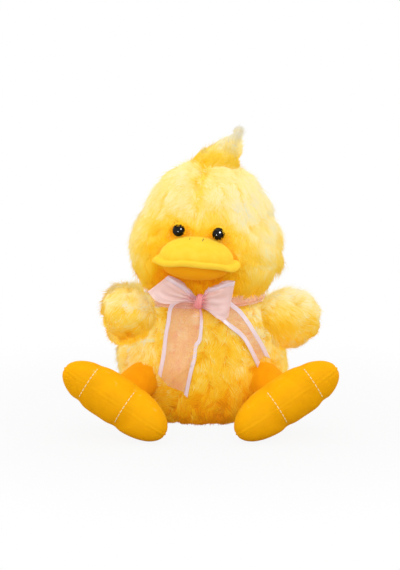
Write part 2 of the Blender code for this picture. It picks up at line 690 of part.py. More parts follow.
def build_leg(side, hip, floor_cutter):
    """The short sleeve and its fibre, aimed at the foot, and the foot's seamed pad and fibre."""
    place = foot_place(side, hip)
    aim = place.to_translation().normalized()
    along = aim.to_track_quat("X", "Z").to_matrix().to_4x4()
    grown = ring_mesh(foot_rings(-CLEARANCE), ("pole", "pole"))
    foot_cutter = add_cutter("foot_cutter_" + side, grown, hip, place)

    straight = np.linspace(LEG_STRAIGHT_SHARE, 1.0, 3)
    tube = [(s * LEG_LENGTH, LEG_RADIUS, LEG_RADIUS) for s in straight]
    stations = np.array(ball_root(LEG_ROOT_RADIUS, LEG_ROOT_OPENING_SHARE, 4) + tube)
    outer = limb_rings(stations)
    inner = moved_out(outer, -VELOUR_WALL)
    sleeve_mesh = shell_mesh(outer, inner, ("open", "open"))
    sleeve = add_object("leg_sleeve_" + side, sleeve_mesh, VELOUR_ORANGE, 0.8, hip, along)
    cut(sleeve, foot_cutter)
    fill = ring_mesh(moved_out(outer, -VELOUR_WALL - CLEARANCE), ("flat", "flat"))
    fibre = add_object("leg_stuffing_" + side, fill, FIBRE_WHITE, parent=hip, place=along)
    cut(fibre, foot_cutter)

    pad_mesh = shell_mesh(foot_rings(), foot_rings(VELOUR_WALL), ("pole", "pole"))
    pad = add_object("foot_skin_" + side, pad_mesh, VELOUR_YELLOW, 0.8, hip, place)
    way = aim.to_track_quat("Z", "Y").to_matrix().to_4x4()
    middle = place.to_translation().length
    opening = turned_mesh([(FOOT_OPENING_RADIUS, 0.0), (FOOT_OPENING_RADIUS, middle)], SMALL_SIDES, ("flat", "flat"))
    cut(pad, floor_cutter, add_cutter("foot_opening_" + side, opening, hip, way))
    fill = ring_mesh(foot_rings(VELOUR_WALL + CLEARANCE), ("pole", "pole"))
    add_object("foot_stuffing_" + side, fill, FIBRE_WHITE, parent=hip, place=place)


def build_tail(body_cutter):
    """A small padded point, rising backwards, its foot cut to the body."""
    x, y = oval(LIMB_SIDES)
    stations = smooth_points(TAIL_SHARES, 7)
    rings = np.zeros((len(stations), LIMB_SIDES, 3))
    rings[:, :, 0] = stations[:, 1:2] * x * TAIL_WIDTH / 2
    rings[:, :, 1] = stations[:, 1:2] * y * TAIL_THICKNESS / 2
    rings[:, :, 2] = stations[:, 0:1] * (TAIL_LENGTH + TAIL_SINK)
    back = -float(BODY.front(0.0, TAIL_HEIGHT))
    lean = Euler((TAIL_RISE - math.pi / 2, 0.0, 0.0)).to_matrix().to_4x4()
    start = Vector((0.0, back, TAIL_HEIGHT)) - lean.to_3x3() @ Vector((0.0, 0.0, TAIL_SINK))
    tail = add_object("tail", ring_mesh(rings, ("flat", "pole")), PLUSH_YELLOW, place=Matrix.Translation(start) @ lean)
    cut(tail, body_cutter)


def build_collar():
    """The ribbon gathered round the neck: a thin band that follows the shoulders."""
    x, y = oval(BODY_SIDES, BODY_SQUARENESS)
    levels = np.linspace(COLLAR_LOW, COLLAR_TOP, 4)
    share = BODY.share_at(levels)
    rings = []
    for standoff, order in ((COLLAR_STANDOFF + COLLAR_THICKNESS, 1), (COLLAR_STANDOFF, -1)):
        for height, part in list(zip(levels, share))[::order]:
            ring = np.zeros((BODY_SIDES, 3))
            ring[:, 0] = (BODY.half[0] * part + standoff) * x
            ring[:, 1] = (BODY.half[1] * part + standoff) * y
            ring[:, 2] = height
            rings.append(ring)
    rings = np.array(rings)
    points = [tuple(p) for p in rings.reshape(-1, 3)]
    faces = []
    for level in range(len(rings)):
        for side in range(BODY_SIDES):
            here, there = level * BODY_SIDES, ((level + 1) % len(rings)) * BODY_SIDES
            after = (side + 1) % BODY_SIDES
            faces.append((here + side, here + after, there + after, there + side))
    add_object("ribbon_collar", (points, faces), RIBBON_PINK, 0.5)


def knot_centre():
    """The knot rests on the collar: its half size along the collar's normal, and a gap, outside it."""
    height = COLLAR_LOW + (COLLAR_TOP - COLLAR_LOW) * KNOT_PLACE_SHARE
    surface = Vector((KNOT_OFFSET, float(BODY.front(KNOT_OFFSET, height)), height))
    normal = BODY.front_normal(KNOT_OFFSET, height, CUT_OVERRUN)
    half = math.hypot(KNOT_DEPTH / 2 * normal.y, KNOT_HEIGHT / 2 * normal.z)
    return surface + normal * (COLLAR_STANDOFF + COLLAR_THICKNESS + 2 * CLEARANCE + half)


def build_knot():
    """A soft lump, squarer than a ball."""
    tilt = np.linspace(-math.pi / 2, math.pi / 2, 7)
    x, y = oval(SMALL_SIDES, KNOT_SQUARENESS)
    draw = np.maximum(np.cos(tilt), 0.0) ** KNOT_PLUMPNESS
    rings = np.zeros((len(tilt), SMALL_SIDES, 3))
    rings[:, :, 0] = draw[:, None] * x * KNOT_WIDTH / 2
    rings[:, :, 1] = draw[:, None] * y * KNOT_DEPTH / 2
    rings[:, :, 2] = np.sin(tilt)[:, None] * KNOT_HEIGHT / 2
    place = Matrix.Translation(knot_centre())
    add_object("bow_knot", ring_mesh(rings, ("pole", "pole")), RIBBON_PINK, 0.5, place=place)


def band_mesh(path, across, thickness):
    """A flat band along a path: each station has the two edges of both faces."""
    forward = np.gradient(path, axis=0)
    normal = np.cross(forward, across)
    normal /= np.linalg.norm(normal, axis=1, keepdims=True)
    half, lift = across / 2, normal * thickness / 2
    rings = np.stack((path - half - lift, path + half - lift, path + half + lift, path - half + lift), axis=1)
    return ring_mesh(rings, ("flat", "flat"))


def build_loop(side):
    """A folded loop: a teardrop path out from the knot and back, full width at its far end."""
    sign = -1.0 if side == "left" else 1.0
    turn = np.linspace(-LOOP_END_TURN, LOOP_END_TURN, LOOP_STEPS)
    out = (1.0 + np.cos(turn)) / 2.0
    length, rise, lean = LOOP_LENGTH[side], LOOP_RISE[side], LOOP_LEAN[side]
    start = KNOT_WIDTH / 2 + CLEARANCE
    reach = start + (out - out.min()) * length
    bulge = LOOP_BULGE * np.sin(turn) * np.sqrt(out)
    centre = np.array(knot_centre())
    path = np.zeros((LOOP_STEPS, 3))
    path[:, 0] = centre[0] + sign * (start + (reach - start) * math.cos(rise))
    path[:, 1] = centre[1] + bulge - LOOP_FORWARD * (out + LOOP_START_SHARE)
    path[:, 2] = centre[2] + (reach - start) * math.sin(rise)
    open_share = np.clip((out - out.min()) / (1.0 - out.min()), 0.0, 1.0) ** LOOP_OPENING_POWER
    width = GATHERED_WIDTH + (LOOP_WIDTH[side] - GATHERED_WIDTH) * open_share
    tilt = lean * open_share
    across = np.stack((-sign * np.sin(tilt) * width, np.zeros(LOOP_STEPS), np.cos(tilt) * width), axis=1)
    mesh_data = band_mesh(path, across * sign, RIBBON_WALL)
    add_object("bow_loop_" + side, mesh_data, RIBBON_PINK, 0.5)


def build_ribbon_tail(side):
    """A ribbon end that hangs from the knot and lies on the belly, three columns wide, its end cut
    to a slant or a notch."""
    length, reach, bow = TAIL_LENGTHS[side], TAIL_REACH[side], TAIL_BOW[side]
    centre = np.array(knot_centre())
    top = centre[2] - KNOT_HEIGHT / 2 * TAIL_TUCK_SHARE - CLEARANCE
    start_x = centre[0] + math.copysign(KNOT_WIDTH / 4, reach)
    drop = math.sqrt(length**2 - (reach - start_x) ** 2)
    columns = []
    for place, end in zip((-0.5, 0.0, 0.5), TAIL_END_SHARES[side]):
        along = np.linspace(0.0, end, TAIL_STEPS)
        open_share = np.clip(along / TAIL_OPEN_SHARE, 0.0, 1.0) ** TAIL_OPEN_POWER
        width = TAIL_START_WIDTH + (TAIL_WIDTHS[side] - TAIL_START_WIDTH) * open_share
        slope = math.atan2(reach - start_x, drop)
        x = start_x + (reach - start_x) * along + bow * np.sin(math.pi * along)
        z = top - drop * along
        facing = np.array([BODY.front_normal(a, b, TAIL_LIFT) for a, b in zip(x, z)])
        x = x + place * width * math.cos(slope) * np.abs(facing[:, 1])
        z = z + place * width * math.sin(slope)
        z = np.minimum(z, top)
        knot_depth = centre[1] + KNOT_DEPTH * TAIL_BACK_SHARE
        rest = BODY.front(x, z) - TAIL_LIFT - CLEARANCE
        hang = np.clip(along / TAIL_HANG_SHARE, 0.0, 1.0)
        y = np.minimum(rest, knot_depth * (1 - hang) + rest * hang)
        columns.append(np.stack((x, y, z), axis=1))
    face = np.stack(columns, axis=1)
    back = face + np.array((0.0, RIBBON_WALL, 0.0))
    rings = np.concatenate((face, back[:, ::-1]), axis=1)
    mesh_data = ring_mesh(rings, ("flat", "flat"), inside_out=True)
    add_object("bow_tail_" + side, mesh_data, RIBBON_PINK, 0.5)


def build_duck():
    """Frames and cutters first, then every piece."""
    clear_scene()
    neck = Matrix.Translation((0.0, NECK_SET_BACK, NECK_HEIGHT))
    neck_frame = add_frame("neck_frame", neck)
    pose = Euler((0.0, HEAD_LEAN, HEAD_TURN), "YXZ").to_matrix().to_4x4()
    head_frame = add_frame("head_frame", pose, neck_frame)
    neck_socket = add_cutter("neck_socket", socket_mesh(NECK_BALL_RADIUS), neck_frame)
    add_object("neck_stuffing", ball_mesh(NECK_BALL_RADIUS, BALL_SIDES), FIBRE_WHITE, parent=neck_frame)

    sockets = [neck_socket]
    hips = {}
    for side, sign in (("left", -1.0), ("right", 1.0)):
        shoulder = BODY.surface(sign * SHOULDER_TURN, SHOULDER_HEIGHT)
        shoulder += BODY.normal(shoulder, CUT_OVERRUN) * SHOULDER_STANDOFF
        heading = -WING_SWEEP[side] if sign > 0 else math.pi + WING_SWEEP[side]
        turn = Matrix.Rotation(heading, 4, "Z") @ Matrix.Rotation(WING_DROOP[side], 4, "Y")
        wing_frame = add_frame("shoulder_frame_" + side, Matrix.Translation(shoulder) @ turn)
        sockets.append(add_cutter("shoulder_socket_" + side, socket_mesh(WING_ROOT_RADIUS), wing_frame))
        build_wing(side, wing_frame)
        hip = BODY.surface(sign * HIP_TURN, HIP_HEIGHT)
        hip += BODY.normal(hip, CUT_OVERRUN) * HIP_STANDOFF
        hips[side] = add_frame("hip_frame_" + side, Matrix.Translation(hip))
        sockets.append(add_cutter("hip_socket_" + side, socket_mesh(LEG_ROOT_RADIUS), hips[side]))

    build_body(sockets)
    body_grown = moved_out(BODY.rings(BODY_SIDES, BODY_LEVELS), CLEARANCE)
    body_cutter = add_cutter("body_cutter", ring_mesh(body_grown, ("flat", "flat")))
    floor = turned_mesh([(FLOOR_REACH, -CUT_OVERRUN), (FLOOR_REACH, 0.0)], 4, ("flat", "flat"))
    floor_cutter = add_cutter("floor_cutter", floor)
    for side, hip in hips.items():
        build_leg(side, hip, floor_cutter)
    head_cutter = head_cutters(head_frame)
    build_head(head_frame, neck_socket)
    build_crest(head_frame, head_cutter)
    build_bill(head_frame, head_cutter)
    build_tail(body_cutter)
    build_collar()
    build_knot()
    for side in ("left", "right"):
        build_loop(side)
        build_ribbon_tail(side)
    bpy.context.view_layer.update()


build_duck()
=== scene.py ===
"""The looks of a sitting plush duck: long yellow pile with pale tips, a velour bill and feet, glossy
safety eyes and a bow of sheer organza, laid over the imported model. Lengths are in metres."""

import math

import bpy
import numpy as np
from bpy.props import FloatProperty, FloatVectorProperty, IntProperty, PointerProperty
from bpy.types import Operator, Panel, PropertyGroup
from mathutils import Euler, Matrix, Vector


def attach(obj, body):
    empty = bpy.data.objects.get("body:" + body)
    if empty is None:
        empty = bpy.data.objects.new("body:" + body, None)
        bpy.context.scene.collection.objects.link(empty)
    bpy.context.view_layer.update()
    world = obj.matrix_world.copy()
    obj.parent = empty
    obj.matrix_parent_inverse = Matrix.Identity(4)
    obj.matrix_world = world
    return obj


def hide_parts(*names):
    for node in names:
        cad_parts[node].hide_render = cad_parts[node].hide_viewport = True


bl_info = {
    "name": "Plush Duck",
    "version": (1, 0, 0),
    "blender": (4, 5, 0),
    "location": "View3D > Sidebar > Plush Duck",
    "description": "Builds the pile, velour, eyes and ribbon of a sitting plush duck",
    "category": "Object",
}

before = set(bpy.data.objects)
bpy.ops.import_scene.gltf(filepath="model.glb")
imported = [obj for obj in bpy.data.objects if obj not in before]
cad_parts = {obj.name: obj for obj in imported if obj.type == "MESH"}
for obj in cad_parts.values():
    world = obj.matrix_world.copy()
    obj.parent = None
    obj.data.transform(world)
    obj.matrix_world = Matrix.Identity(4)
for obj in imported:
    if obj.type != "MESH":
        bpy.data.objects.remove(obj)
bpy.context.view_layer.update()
MM = 0.001
SIDES = ("left", "right")

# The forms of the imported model, which the cloth follows
BODY_SHARES = (
    (0.000, 0.580), (0.022, 0.700), (0.080, 0.840), (0.200, 0.950), (0.400, 1.000), (0.600, 0.975),
    (0.750, 0.905), (0.850, 0.825), (0.920, 0.750), (0.970, 0.675), (1.000, 0.600),
)
BODY_SIZE = (0.1600, 0.1420, 0.1295)
BODY_SQUARENESS = 2.15
HEAD_SHARES = (
    (0.000, 0.660), (0.001, 0.760), (0.030, 0.855), (0.090, 0.925), (0.165, 0.978), (0.255, 1.000),
    (0.370, 0.985), (0.475, 0.935), (0.560, 0.865), (0.630, 0.815), (0.700, 0.765), (0.790, 0.685),
    (0.860, 0.600), (0.920, 0.495), (0.965, 0.360), (0.992, 0.190), (1.000, 0.000),
)
HEAD_SIZE = (0.1420, 0.1280, 0.1135)
HEAD_BASE = 0.0155
HEAD_SQUARENESS = 2.20
NECK = Vector((0.0, 0.0020, 0.1225))
HEAD_POSE = np.array(Euler((0.0, math.radians(3.8), math.radians(-9.0)), "YXZ").to_matrix())
EYE_SPACING, EYE_LIFT, EYE_WIDTH, EYE_DOME = 0.0385, 0.0562, 0.0126, 0.0052
LEFT_NOTCH, RIGHT_CREASE = (-0.0580, -0.0050, 0.1980), (0.0580, -0.0310, 0.1990)
BILL_WIDTH, BILL_REACH, BILL_LIFT, LIP = 0.0860, 0.0410, 0.0290, 0.0062
SHOULDERS = {"left": (-0.062735, -0.029804, 0.105552), "right": (0.062735, -0.029804, 0.105552)}
WING_LENGTH = {"left": 0.0430, "right": 0.0470}
WING_HEADING = {"left": math.radians(236.0), "right": math.radians(-6.0)}
WING_DROOP = {"left": math.radians(-5.0), "right": math.radians(20.0)}
WING_SHARES = (
    (0.13, 0.56, 0.82), (0.28, 0.80, 0.94), (0.48, 0.98, 1.00), (0.66, 1.00, 0.95),
    (0.82, 0.88, 0.80), (0.93, 0.64, 0.56), (0.985, 0.32, 0.28), (1.00, 0.00, 0.00),
)
WING_CHORD, WING_THICKNESS, WING_ROOT = 0.0470, 0.0320, 0.0135
HIPS = {"left": (-0.060037, -0.051886, 0.046855), "right": (0.060037, -0.051886, 0.046855)}
LEG_RADIUS, LEG_ROOT = 0.0180, 0.0176
FOOT_SHARES = (
    (0.00, 0.00), (0.26, 0.03), (0.44, 0.14), (0.62, 0.32), (0.80, 0.50), (0.95, 0.68), (1.00, 0.80),
    (0.94, 0.92), (0.76, 0.99), (0.56, 0.995), (0.36, 0.965), (0.18, 0.995), (0.00, 1.00),
)
FOOT_SIZE = (0.1160, 0.0800, 0.0460)
FOOT_CENTRE_SHARE, FOOT_PLUMPNESS = 0.62, 0.72
FOOT_SPREAD = {"left": 0.0830, "right": 0.0785}
FOOT_FORWARD = 0.0910
FOOT_ROLL, FOOT_PITCH, FOOT_YAW = math.radians(32.0), math.radians(10.0), math.radians(6.0)
TOE_LINES = ((-0.0115, -1.75, 1.55), (0.0300, -1.60, 1.20))
TOE_STITCHES = 9
# Painted shade: how far the pile's deepest colours are darkened, for creases and low down.
CREASE_SHADE = 0.82
WHITE = (1.0, 1.0, 1.0, 1.0)


def linear(code):
    """An sRGB hex colour as linear light: the standard curve, channel by channel."""
    parts = [int(code[i:i + 2], 16) / 255 for i in (1, 3, 5)]
    return tuple(c / 12.92 if c <= 0.04045 else ((c + 0.055) / 1.055) ** 2.4 for c in parts)


def unit(vectors):
    """Each vector divided by its length."""
    return vectors / np.maximum(np.linalg.norm(vectors, axis=-1, keepdims=True), 1e-12)


def mixed(low, high, share):
    """A smooth step from 0 at low to 1 at high."""
    t = np.clip((share - low) / (high - low), 0.0, 1.0)
    return t * t * (3 - 2 * t)


def bump(distance, width):
    """A bell: 1 at no distance, falling to 1/e at the width."""
    return np.exp(-((distance / width) ** 2))


def drift(points, scale, seed):
    """Smooth noise near -1 to 1: the sum of sines along seven fixed random ways, about a scale long."""
    rng = np.random.default_rng(seed)
    ways = unit(rng.normal(size=(7, 3))) * rng.uniform(0.7, 1.5, (7, 1)) * 2 * math.pi / scale
    return np.sin(points @ ways.T + rng.uniform(0, 2 * math.pi, 7)).sum(axis=-1) / 3.2


def smooth_curve(points, count):
    """Even steps along a Hermite curve whose slopes are the centred differences of the points."""
    points = np.asarray(points, float)
    chord = np.linalg.norm(np.diff(points, axis=0), axis=1)
    knots = np.concatenate(([0.0], np.cumsum(np.sqrt(chord))))
    slopes = np.gradient(points, knots, axis=0)
    fine = np.linspace(knots[0], knots[-1], count * 24)
    span = np.clip(np.searchsorted(knots, fine, side="right") - 1, 0, len(knots) - 2)
    width = (knots[span + 1] - knots[span])[:, None]
    t = (fine[:, None] - knots[span][:, None]) / width
    curve = (
        (2 * t**3 - 3 * t**2 + 1) * points[span] + (t**3 - 2 * t**2 + t) * width * slopes[span]
        + (-2 * t**3 + 3 * t**2) * points[span + 1] + (t**3 - t**2) * width * slopes[span + 1]
    )
    length = np.concatenate(([0.0], np.cumsum(np.linalg.norm(np.diff(curve, axis=0), axis=1))))
    even = np.linspace(0.0, length[-1], count)
    return np.stack([np.interp(even, length, curve[:, axis]) for axis in range(points.shape[1])], axis=1)


def superellipse(sides, squareness):
    """A unit rim: |x|^n + |y|^n = 1, anticlockwise seen from above."""
    turn = np.linspace(0.0, 2 * math.pi, sides, endpoint=False)
    x = np.sign(np.cos(turn)) * np.abs(np.cos(turn)) ** (2 / squareness)
    y = np.sign(np.sin(turn)) * np.abs(np.sin(turn)) ** (2 / squareness)
    return x, y


class Skin:
    """A closed skin on a grid: rows of levels, columns of turn that wrap. A place on it is a level
    and a turn in grid steps, and everything there is a blend of the four grid points round it."""

    def __init__(self, points):
        self.points = points
        along = np.gradient(points, axis=0)
        around = (np.roll(points, -1, axis=1) - np.roll(points, 1, axis=1)) / 2
        self.normals = unit(np.cross(around, along))
        step = np.linalg.norm(np.cross(around, along), axis=2)
        self.area = (step[1:] + step[:-1]) / 2
        self.along, self.around = along, around

    def shrunk(self, distance):
        """The same skin a distance inside."""
        points = self.points - self.normals * distance
        for row in (0, -1):
            if np.ptp(self.points[row], axis=0).max() < 1e-7:
                inward = self.points[row].mean(axis=0) - self.points[1 if row == 0 else -2].mean(axis=0)
                points[row] = self.points[row] - unit(inward) * distance
        return Skin(points)

    def at(self, level, turn, values):
        """Values of the grid at places, blended from the four corners of their cells."""
        rows, sides = self.points.shape[:2]
        level = np.clip(level, 0, rows - 1.001)
        row, side = np.floor(level).astype(int), np.floor(turn).astype(int)
        f, g = (level - row)[:, None], (turn - side)[:, None]
        a, b = side % sides, (side + 1) % sides
        low = values[row, a] * (1 - g) + values[row, b] * g
        high = values[row + 1, a] * (1 - g) + values[row + 1, b] * g
        return low * (1 - f) + high * f

    def scatter(self, count):
        """Evenly spread places: an R2 sequence put through the running share of the area, first by
        level and then round it."""
        n = np.arange(count) + 1.0
        a, b = (0.5 + n * 0.7548776662466927) % 1, (0.5 + n * 0.5698402909980532) % 1
        rows = self.area.sum(axis=1)
        run = np.concatenate(([0.0], np.cumsum(rows))) / rows.sum()
        level = np.interp(a, run, np.arange(len(run)))
        row = np.minimum(level.astype(int), len(rows) - 1)
        ring = np.cumsum(self.area, axis=1) / self.area.sum(axis=1, keepdims=True)
        passed = ring[row]
        side = (passed < b[:, None]).sum(axis=1)
        before = np.where(side > 0, passed[np.arange(count), side - 1], 0.0)
        here = passed[np.arange(count), np.minimum(side, ring.shape[1] - 1)]
        return level, side + (b - before) / np.maximum(here - before, 1e-9)


def form_points(shares, size, squareness, base, levels, sides):
    """Level rings of a superellipse, whose size follows the outline of (height, width) shares."""
    outline = smooth_curve(shares, levels)
    x, y = superellipse(sides, squareness)
    rings = np.zeros((levels, sides, 3))
    rings[:, :, 0] = outline[:, 1:2] * x * size[0] / 2
    rings[:, :, 1] = outline[:, 1:2] * y * size[1] / 2
    rings[:, :, 2] = base + outline[:, 0:1] * size[2]
    return rings


class Outline:
    """Where an upright form's surface lies: its share of the full width at each height."""

    def __init__(self, shares, size, squareness, base):
        fine = smooth_curve(shares, 240)
        self.size, self.squareness = size, squareness
        self.heights, self.widths = base + fine[:, 0] * size[2], fine[:, 1]

    def share(self, z):
        return np.interp(z, self.heights, self.widths)

    def front(self, x, z):
        """Y of the front: the superellipse solved for y."""
        share = self.share(z)
        across = np.clip(np.abs(x) / (self.size[0] / 2 * share), 0, 1) ** self.squareness
        return -self.size[1] / 2 * share * (1 - across) ** (1 / self.squareness)

    def depth(self, points):
        """1 on the surface, less inside, more outside."""
        share = self.share(points[..., 2])
        across = np.abs(points[..., 0]) / (self.size[0] / 2 * share)
        ahead = np.abs(points[..., 1]) / (self.size[1] / 2 * share)
        return (across**self.squareness + ahead**self.squareness) ** (1 / self.squareness)

    def normal(self, point, step=0.004):
        """Outward unit normal at a point, from the depth a small step away."""
        steps = np.eye(3) * step
        return unit(self.depth(point + steps) - self.depth(point - steps))

    def front_normal(self, x, z, step=0.003):
        """Outward unit normals of the front, from its slopes over a small step."""
        across = (self.front(x + step, z) - self.front(x - step, z)) / (2 * step)
        upward = (self.front(x, z + step) - self.front(x, z - step)) / (2 * step)
        return unit(np.stack((across, -np.ones_like(across), upward), axis=-1))


BODY = Outline(BODY_SHARES, BODY_SIZE, BODY_SQUARENESS, 0.0)
HEAD = Outline(HEAD_SHARES, HEAD_SIZE, HEAD_SQUARENESS, HEAD_BASE)


def from_head(points):
    """Points of the head's own frame, turned and leaned about the neck, in the row frame."""
    return points @ HEAD_POSE.T + np.array(NECK)


def to_head(points):
    """The other way round."""
    return (points - np.array(NECK)) @ HEAD_POSE


def grid_faces(rows, sides, wrap=True):
    """Quads between neighbouring rows, facing out where the turn is anticlockwise seen from the top."""
    row, side = np.meshgrid(np.arange(rows - 1), np.arange(sides if wrap else sides - 1), indexing="ij")
    after = (side + 1) % sides
    here, there = row * sides, (row + 1) * sides
    return np.stack((here + side, here + after, there + after, there + side), axis=-1).reshape(-1, 4)


def add_mesh(name, points, faces, material, uv=None, smooth=True):
    """One object at the origin from arrays of points and faces, with a map given per point."""
    mesh = bpy.data.meshes.new(name)
    faces = [np.asarray(group) for group in (faces if isinstance(faces, list) else [faces])]
    starts, total = [], 0
    for group in faces:
        starts.append(total + np.arange(len(group)) * group.shape[1])
        total += group.size
    loops = np.concatenate([group.ravel() for group in faces])
    mesh.vertices.add(len(points))
    mesh.vertices.foreach_set("co", np.asarray(points, np.float32).ravel())
    mesh.loops.add(len(loops))
    mesh.loops.foreach_set("vertex_index", loops.astype(np.int32))
    mesh.polygons.add(sum(len(group) for group in faces))
    mesh.polygons.foreach_set("loop_start", np.concatenate(starts).astype(np.int32))
    mesh.update(calc_edges=True)
    if smooth:
        mesh.shade_smooth()
    if uv is not None:
        layer = mesh.uv_layers.new(name="OFBake", do_init=False)
        layer.uv.foreach_set("vector", np.asarray(uv, np.float32)[loops].ravel())
    mesh.materials.append(material)
    made = bpy.data.objects.new(name, mesh)
    bpy.context.scene.collection.objects.link(made)
    return made


def closed_skin(name, points, material):
    """A skin as a mesh: each end row is gathered into one pole point, so the seams and poles are closed."""
    rows, sides = points.shape[:2]
    inner = points[1:-1].reshape(-1, 3)
    poles = np.stack((points[0].mean(axis=0), points[-1].mean(axis=0)))
    side = np.arange(sides)
    after = (side + 1) % sides
    low, high = len(inner), len(inner) + 1
    top = (rows - 3) * sides
    caps = np.concatenate((np.stack((after, side, np.full(sides, low)), 1),
                           np.stack((top + side, top + after, np.full(sides, high)), 1)))
    return add_mesh(name, np.concatenate((inner, poles)), [grid_faces(rows - 2, sides), caps], material)


def stuffed(name, points, material, body, nodes):
    """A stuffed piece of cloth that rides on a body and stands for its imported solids."""
    made = closed_skin(name, points, materials()[material])
    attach(made, body)
    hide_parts(*nodes)
    return made


def pile_cloth(name, points, body, nodes, core=0.82):
    """The backing under pile, and the fibre packed inside it. Light goes a few millimetres into a deep
    pile and comes out along the outline, so the cloth throws no shadow and the packed fibre does. Its
    form is the cloth's own, drawn in evenly about its middle."""
    cloth = stuffed(name, points, "knitted_backing", body, nodes)
    cloth.visible_diffuse = cloth.visible_shadow = False
    middle = points.reshape(-1, 3).mean(axis=0)
    inner = middle + (points - middle) * core
    fibre = closed_skin(name.replace("cloth", "fibre"), inner, materials()["polyester_fibre"])
    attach(fibre, body)


def add_node(tree, kind, settings=None, links=None):
    """One shader node. Settings are attributes or socket values; links go from a socket to a named input."""
    made = tree.nodes.new(kind)
    for key, value in (settings or {}).items():
        if isinstance(key, str) and key not in made.inputs:
            setattr(made, key, value)
        else:
            made.inputs[key].default_value = value
    for key, socket in (links or {}).items():
        tree.links.new(socket, made.inputs[key])
    return made


def new_material(name, settings):
    """A Principled material with its constants on the shader's own sockets."""
    made = bpy.data.materials.new(name)
    made.use_nodes = True
    shader = made.node_tree.nodes["Principled BSDF"]
    for key, value in settings.items():
        shader.inputs[key].default_value = value
    return made.node_tree, shader


def opaque(colour, share=1.0):
    """A colour darkened to a share of itself, with full alpha."""
    return (*(c * share for c in tuple(colour)[:3]), 1.0)


def add_grain(tree, scale, detail, settings=None):
    """Noise over the object's own metres; the scale is in cycles per metre."""
    place = add_node(tree, "ShaderNodeTexCoord").outputs["Object"]
    settings = {"Scale": scale, "Detail": detail, **(settings or {})}
    return add_node(tree, "ShaderNodeTexNoise", settings, {"Vector": place}).outputs["Fac"]


def add_ramp(tree, value, stops):
    """A colour ramp over a value, filled with (place, colour) stops."""
    made = add_node(tree, "ShaderNodeValToRGB", links={"Fac": value})
    elements = made.color_ramp.elements
    while len(elements) < len(stops):
        elements.new(0.5)
    for element, (place, colour) in zip(elements, stops):
        element.position = place
        element.color = opaque(colour)
    return made.outputs["Color"]


def add_rise(tree, value, low, high, ends=(0.0, 1.0), smooth=True):
    """A value mapped from the first end at low to the second at high, and held beyond them."""
    settings = {"From Min": low, "From Max": high, "To Min": ends[0], "To Max": ends[1],
                "interpolation_type": "SMOOTHSTEP" if smooth else "LINEAR"}
    return add_node(tree, "ShaderNodeMapRange", settings, {"Value": value}).outputs["Result"]


def set_blend(tree, shader, share, first, second):
    """Colour the surface with a blend of a socket's colour and a second one, a socket or fixed."""
    made = add_node(tree, "ShaderNodeMix", {"data_type": "RGBA"}, {"Factor": share, 6: first})
    if isinstance(second, bpy.types.NodeSocket):
        tree.links.new(second, made.inputs[7])
    else:
        made.inputs[7].default_value = opaque(second)
    tree.links.new(made.outputs[2], shader.inputs["Base Color"])


def set_relief(tree, shader, height, strength, distance):
    """Tip the surface's normal by a value, as if it stood that distance high."""
    made = add_node(tree, "ShaderNodeBump", {"Strength": strength, "Distance": distance}, {"Height": height})
    tree.links.new(made.outputs["Normal"], shader.inputs["Normal"])


def pile_material(colours):
    """Knitted acrylic pile, dyed and heat-set, soft and unglossy. Its colour runs from deep gold at the
    root to pale at the tip: painted shade between the hairs at the root and painted light through the
    tips, over the yellow dye. The map's first number is how sunlit and pale the hair is, its second the
    place along the hair, so colour follows each hair and bakes as one small chart."""
    tree, shader = new_material("acrylic_pile", {
        "Roughness": 0.8, "Sheen Weight": 0.08, "Sheen Roughness": 0.5, "Specular IOR Level": 0.02,
        "Sheen Tint": opaque(colours.tip_light),
    })
    chart = add_node(tree, "ShaderNodeUVMap", {"uv_map": "OFBake"}).outputs["UV"]
    parts = add_node(tree, "ShaderNodeSeparateXYZ", links={"Vector": chart})
    # Painted shade: the root ramp is deeper than the tip ramp, for the shade between the hairs. Both lowest stops are
    # darkened by CREASE_SHADE as painted shade in the deepest creases and low down.
    root = add_ramp(tree, parts.outputs["X"], [
        (0.0, opaque(colours.root_deep, CREASE_SHADE)), (0.10, colours.root_deep), (0.4, colours.root_mid),
        (0.75, colours.tip_mid), (1.0, colours.root_pale)])
    tip = add_ramp(tree, parts.outputs["X"], [
        (0.0, opaque(colours.tip_deep, CREASE_SHADE)), (0.10, colours.tip_deep), (0.28, colours.tip_gold),
        (0.55, colours.tip_mid), (0.8, colours.tip_light), (1.0, colours.tip_pale)])
    set_blend(tree, shader, add_rise(tree, parts.outputs["Y"], 0.05, 0.85), root, tip)


def backing_material(colours):
    """The pile's knitted backing, seen only between hairs: deep gold as painted shade between the hairs,
    paler high on the head as painted light, with the loops of a 1.5 mm knit."""
    tree, shader = new_material("knitted_backing", {"Roughness": 0.9, "Specular IOR Level": 0.1})
    knit = add_grain(tree, 650.0, 3.0)
    # Painted shade: the deep gold between the hairs, mottled by the knit.
    low = add_ramp(tree, knit, [(0.3, colours.root_deep), (0.7, colours.root_mid)])
    place = add_node(tree, "ShaderNodeTexCoord").outputs["Object"]
    height = add_node(tree, "ShaderNodeSeparateXYZ", links={"Vector": place}).outputs["Z"]
    # Painted light: above 0.165 m the backing pales towards the tip colour.
    set_blend(tree, shader, add_rise(tree, height, 0.165, 0.225, smooth=False), low, colours.tip_mid)
    set_relief(tree, shader, knit, 0.5, 0.6 * MM)


